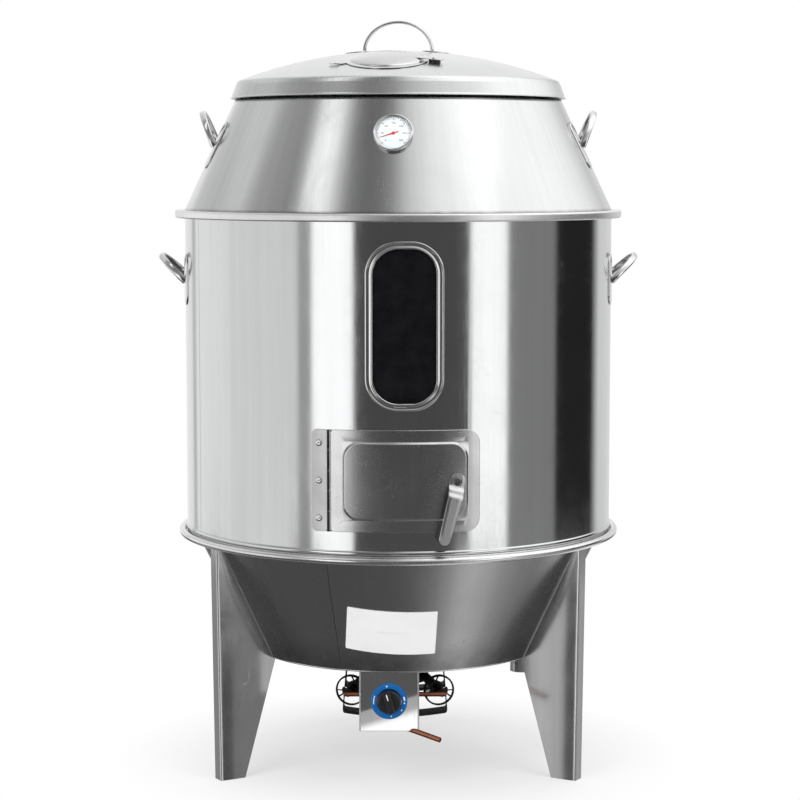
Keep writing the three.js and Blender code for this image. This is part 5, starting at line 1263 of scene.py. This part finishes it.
def buildInlet():
    # gas inlet: down from the valve, then straight out past the box to an open end
    tube = {"radius": 4.8, "bore": 3.8, "plug": 30.0}
    start = Vector((28.0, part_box("gas_inlet_tube")[1][1] * 1000 - 6.0, 150.0))
    knee, end = Vector((18.0, -257.0, 111.5)), Vector((76.0, -285.0, 97.0))
    along = (end - knee).normalized()
    ways = []
    for t in evenSteps(0, 1, 12):
        ways.append(start * (1 - t) ** 3 + (start - Vector((0, 0, 20))) * 3 * t * (1 - t) ** 2
                    + (knee - along * 14) * 3 * t * t * (1 - t) + (knee + along * 6) * t ** 3)
    frames = [alongFrame(spot, ways[min(k + 1, 12)] - ways[max(k - 1, 0)]) for k, spot in enumerate(ways)]
    r, bore, length = tube["radius"], tube["bore"], (end - knee).length
    plug = length - tube["plug"]
    outline = softened([(0, 0), (r, 0), (r, length), (bore, length), (bore, plug), (0, plug)], 0.3, 2)
    straight = moved(alongFrame(knee, along), turnedParts(outline, 32))
    makePiece("gas_tail_tube", joined(sweptParts(frames, ovalSection(r, r, 24)), straight), 40, "copper",
              "base", "copper", "gas_inlet_tube")


def buildCradle():
    # two thin hangers joined by thick, slightly bowed bars and a rail
    bar = [(-94 + 188 * t, 108 - 8 * (1 - (2 * t - 1) ** 2)) for t in evenSteps(0, 1, 24)]
    lower = [(-116, 216.5), (-90, 216.5), (-98, 116), (-97, 110), *bar, (97, 110), (98, 116), (90, 216.5),
             (116, 216.5)]
    upper = [(-116, 219.3), (-88, 219.3), (-95.6, 118), (-94.5, 115.6),
             *[(x * 0.985, z + 6.0) for x, z in bar], (94.5, 115.6), (95.6, 118), (88, 219.3), (116, 219.3)]
    parts = []
    for middle in (-105.5, 105.5):
        near, far = middle - 16, middle + 16
        parts.append(loftParts([[(a, near, low), (a, far, low), (b, far, high), (b, near, high)]
                                for (a, low), (b, high) in zip(lower, upper)]))
    parts.append(slabParts([(-25, -92), (25, -92), (25, 92), (-25, 92)], 100.6, 103.0))
    hanger = moved(Matrix.Translation((burner["x"], 0, 0)), joined(*parts))
    makePiece("burner_hanger", hanger, 30, "iron", "base", "cast_iron", "burner_cradle")


def dressCarried():
    # CAD pieces that keep their form
    looks = {
        "liner": ["basin_floor", "burner_shield", "window_tunnel", "door_tunnel", "door_heat_pan",
                  "rack_bracket_a", "rack_bracket_b", "rack_bracket_c", "hanging_rack"],
        "folded": ["grease_spout"],
        "iron": ["burner_head", "gas_nozzle_left", "gas_nozzle_right"],
        "copper": ["gas_manifold"],
        "brass": ["gas_valve", "valve_stem", "gauge_probe"],
        "polished": ["door_hinge_pin", "hinge_rivet_lower", "hinge_rivet_middle", "hinge_rivet_upper",
                     "vent_rivet"],
        "blackPlastic": ["vent_spacer"],
    }
    for look, nodes in looks.items():
        for node in nodes:
            source = cadPiece(node)
            if source.material_slots:
                source.material_slots[0].material = finish[look]
            else:
                source.data.materials.append(finish[look])


# floor, light and studio cards
def blankTree(owner):
    owner.use_nodes = True
    owner.node_tree.nodes.clear()
    return owner.node_tree


def seenShare(tree):
    # 1 for what the camera, a mirror or a glass sees, 0 for the light that falls on the oven
    path = addNode(tree, "ShaderNodeLightPath").outputs
    seen = maths(tree, "MAXIMUM", path["Is Camera Ray"], path["Is Glossy Ray"])
    return maths(tree, "MAXIMUM", seen, path["Is Transmission Ray"])


def buildAir():
    scene.world = bpy.data.worlds.new("studioAir")
    tree = blankTree(scene.world)
    air = addNode(tree, "ShaderNodeBackground", Color=(0.82, 0.83, 0.84, 1), Strength=0.75).outputs[0]
    white = addNode(tree, "ShaderNodeBackground", Color=(1, 1, 1, 1), Strength=1.0).outputs[0]
    mixed = addNode(tree, "ShaderNodeMixShader", i0=seenShare(tree), i1=air, i2=white).outputs[0]
    addNode(tree, "ShaderNodeOutputWorld", Surface=mixed)


def buildFloor():
    # keeps a soft shadow near the feet and runs out to the white background
    half, low = 20000, -0.5
    corners = [(-half, -half, low), (half, -half, low), (half, half, low), (-half, half, low)]
    floor = linkMesh("studioFloor", corners, [[0, 1, 2, 3]], 30)
    material = bpy.data.materials.new("paleFloor")
    tree = blankTree(material)
    away = addNode(tree, "ShaderNodeVectorMath", {"operation": "LENGTH"},
                   i0=objectPlace(tree)).outputs["Value"]
    share = maths(tree, "MULTIPLY", spread(tree, away, 0.5, 1.0, 0.3, 0.55), seenShare(tree))
    matt = addNode(tree, "ShaderNodeBsdfDiffuse", Color=(0.92, 0.92, 0.92, 1)).outputs[0]
    glow = addNode(tree, "ShaderNodeEmission", Color=(1, 1, 1, 1), Strength=1.0).outputs[0]
    mixed = addNode(tree, "ShaderNodeMixShader", i0=share, i1=matt, i2=glow).outputs[0]
    addNode(tree, "ShaderNodeOutputMaterial", Surface=mixed)
    floor.data.materials.append(material)
    floor.visible_glossy = False


def buildLamps():
    reach = 3.2
    for name, turn, height, power, size in (("softKey", -38, 2.6, 55, 2.2), ("softFill", 46, 2.2, 45, 2.2),
                                            ("softTop", 175, 3.4, 40, 2.6)):
        lamp = bpy.data.lights.new(name, "AREA")
        lamp.size = size
        lamp.energy = power
        holder = bpy.data.objects.new(name, lamp)
        holder.location = (reach * sin(radians(turn)), -reach * cos(radians(turn)), height)
        aim = Vector((0, 0, 0.8)) - Vector(holder.location)
        holder.rotation_euler = aim.to_track_quat("-Z", "Y").to_euler()
        holder.visible_glossy = False
        scene.collection.objects.link(holder)


def spherePoint(turn, rise, reach):
    # turn counts from the camera's side, rise from a point 0.8 m up on the oven's axis
    flat = reach * cos(radians(rise))
    return (flat * sin(radians(turn)), -flat * cos(radians(turn)), 0.8 + reach * sin(radians(rise)))


def buildSurround():
    # brightness seen only in the metal: each row has stops of (degrees round from the camera, level)
    ground = [(-186, 0.3), (-130, 0.3), (-116, 0.105), (-62, 0.107), (-33, 0.117), (4, 0.12), (25, 0.17),
              (40, 0.33), (51, 0.66), (60, 0.86), (68, 0.74), (78, 0.45), (90, 0.31), (107, 0.2), (116, 0.4),
              (128, 0.95), (172, 0.95), (174, 0.3)]
    legs = [(-186, 0.95), (-168, 0.9), (-160, 0.12), (-142, 0.09), (-135, 0.3), (-112, 0.35), (-98, 0.75),
            (-80, 1.1), (-64, 1.1), (-60, 0.95), (-57, 0.4), (-54, 0.13), (-49, 0.11), (-42, 0.11),
            (-37, 1.3), (-28, 1.3), (-24, 0.12), (28, 0.12), (31, 1.3), (37, 1.3), (41, 0.1), (51, 0.085),
            (55, 0.11), (59, 0.26), (64, 0.34), (80, 0.38), (104, 0.36), (116, 0.5), (126, 0.48), (134, 0.2),
            (142, 0.055), (160, 0.09), (168, 0.8), (174, 0.95)]
    barrel = [(-186, 0.95), (-144, 0.95), (-142.5, 0.6), (-138, 0.6), (-136.5, 1.02), (-101, 1.0),
              (-97, 0.9), (-54, 0.88), (-52, 0.42), (-46.5, 0.42), (-44, 1.5), (-24, 1.5), (-22, 0.085),
              (36, 0.085), (38.5, 1.45), (57, 1.45), (59.5, 0.27), (89, 0.27), (91.5, 0.02), (124, 0.02),
              (134, 0.8), (174, 0.8)]
    coneSides = [(-186, 1.05), (-168, 1.0), (-150, 0.76), (-138, 0.7), (-118, 0.6), (-100, 0.5), (-60, 0.35),
                 (-20, 0.25), (10, 0.45), (40, 0.8), (70, 1.2), (92, 1.36), (118, 1.32), (130, 1.15),
                 (140, 0.9), (150, 0.68), (162, 0.7), (170, 1.0), (174, 1.0)]
    coneUpper = [(-186, 1.05), (-168, 1.05), (-150, 0.84), (-138, 0.82), (-120, 0.8), (-102, 0.78),
                 (-95, 0.5), (-70, 0.32), (-28, 0.23), (-14, 0.28), (0, 0.34), (14, 0.48), (28, 0.65),
                 (42, 0.82), (56, 1.0), (69, 1.24), (82, 1.4), (110, 1.4), (130, 1.2), (150, 0.9),
                 (165, 1.0), (174, 1.0)]
    overhead = [(-186, 1.05), (-120, 0.75), (-98, 0.6), (-91, 0.42), (-84, 0.38), (-72, 0.36), (-66, 0.6),
                (-61, 1.3), (-53, 1.45), (-47, 1.35), (-43, 0.95), (-38, 0.58), (-33, 0.3), (-27, 0.21),
                (-20, 0.18), (-12, 0.21), (-7, 0.27), (-3, 0.37), (1, 0.57), (6, 0.78), (12, 0.92),
                (22, 1.16), (32, 1.3), (43, 1.45), (53, 1.6), (64, 1.7), (100, 1.6), (174, 1.05)]
    rows = [(-89, ground), (-26, ground), (-24.5, ground), (-22.8, legs), (-12.0, legs), (-11.75, barrel),
            (10.5, barrel), (13, coneSides), (22, coneSides), (28, coneUpper), (39.5, coneUpper),
            (42.5, overhead), (88, overhead)]
    reach = 9.0
    turns = evenSteps(-186, 174, 480)
    count = len(turns)
    points = [spherePoint(turn, rise, reach) for rise, stops in rows for turn in turns]
    values = [levelAt(stops, turn) for rise, stops in rows for turn in turns]
    faces = []
    for i in range(len(rows) - 1):
        for k in range(count - 1):
            a = i * count + k
            faces.append([a, a + 1, a + count + 1, a + count])
    glowSheet("studioSurround", points, faces, values)
    # a slanted bright card below the camera, for the lower half of the control box
    card = [(-4.0, -17.85, 0.5), (4.0, -15.6, 0.5), (4.0, -16.02, 0.54), (-4.0, -18.27, 0.54),
            (4.0, -16.26, 1.4), (-4.0, -18.51, 1.4), (4.0, -18.6, 1.45), (-4.0, -20.85, 1.45)]
    glowSheet("studioLowCard", [spherePoint(turn, rise, 0.97 * reach) for turn, rise, level in card],
              [[0, 1, 2, 3], [3, 2, 4, 5], [5, 4, 6, 7]], [level for turn, rise, level in card])


def levelAt(stops, turn):
    for (a, low), (b, high) in zip(stops, stops[1:]):
        if turn <= b:
            return low + (high - low) * (turn - a) / (b - a)
    return stops[-1][1]


def glowSheet(name, points, faces, values):
    mesh = bpy.data.meshes.new(name)
    mesh.from_pydata(points, [], faces)
    mesh.attributes.new("level", "FLOAT", "POINT").data.foreach_set("value", values)
    card = bpy.data.objects.new(name, mesh)
    scene.collection.objects.link(card)
    material = bpy.data.materials.new(name + "Cloth")
    tree = blankTree(material)
    level = addNode(tree, "ShaderNodeAttribute", {"attribute_name": "level"}).outputs["Fac"]
    glow = addNode(tree, "ShaderNodeEmission", Color=(1, 1, 1, 1), Strength=level)
    addNode(tree, "ShaderNodeOutputMaterial", Surface=glow.outputs[0])
    mesh.materials.append(material)
    card.visible_camera = False
    card.visible_diffuse = False
    card.visible_shadow = False
    card.visible_transmission = False


scene.view_settings.view_transform = "Standard"
placeCamera()
makeSteels()
makeCasts()
makePlains()
print("materials made")
buildBowl()
buildPlate()
buildLegs()
print("bowl, rim and legs built")
buildBarrel()
buildWindow()
print("barrel and window built")
buildDoor()
buildHinge()
buildLatch()
print("fire door and latch built")
buildHandles()
print("handles built")
buildCone()
buildGauge()
print("cone and gauge built")
buildLid()
buildVent()
print("lid and vent built")
buildBox()
buildKnob()
buildBurner()
buildInlet()
buildCradle()
dressCarried()
print("controls and carried pieces dressed")
buildAir()
buildFloor()
buildLamps()
buildSurround()
print("stage set")
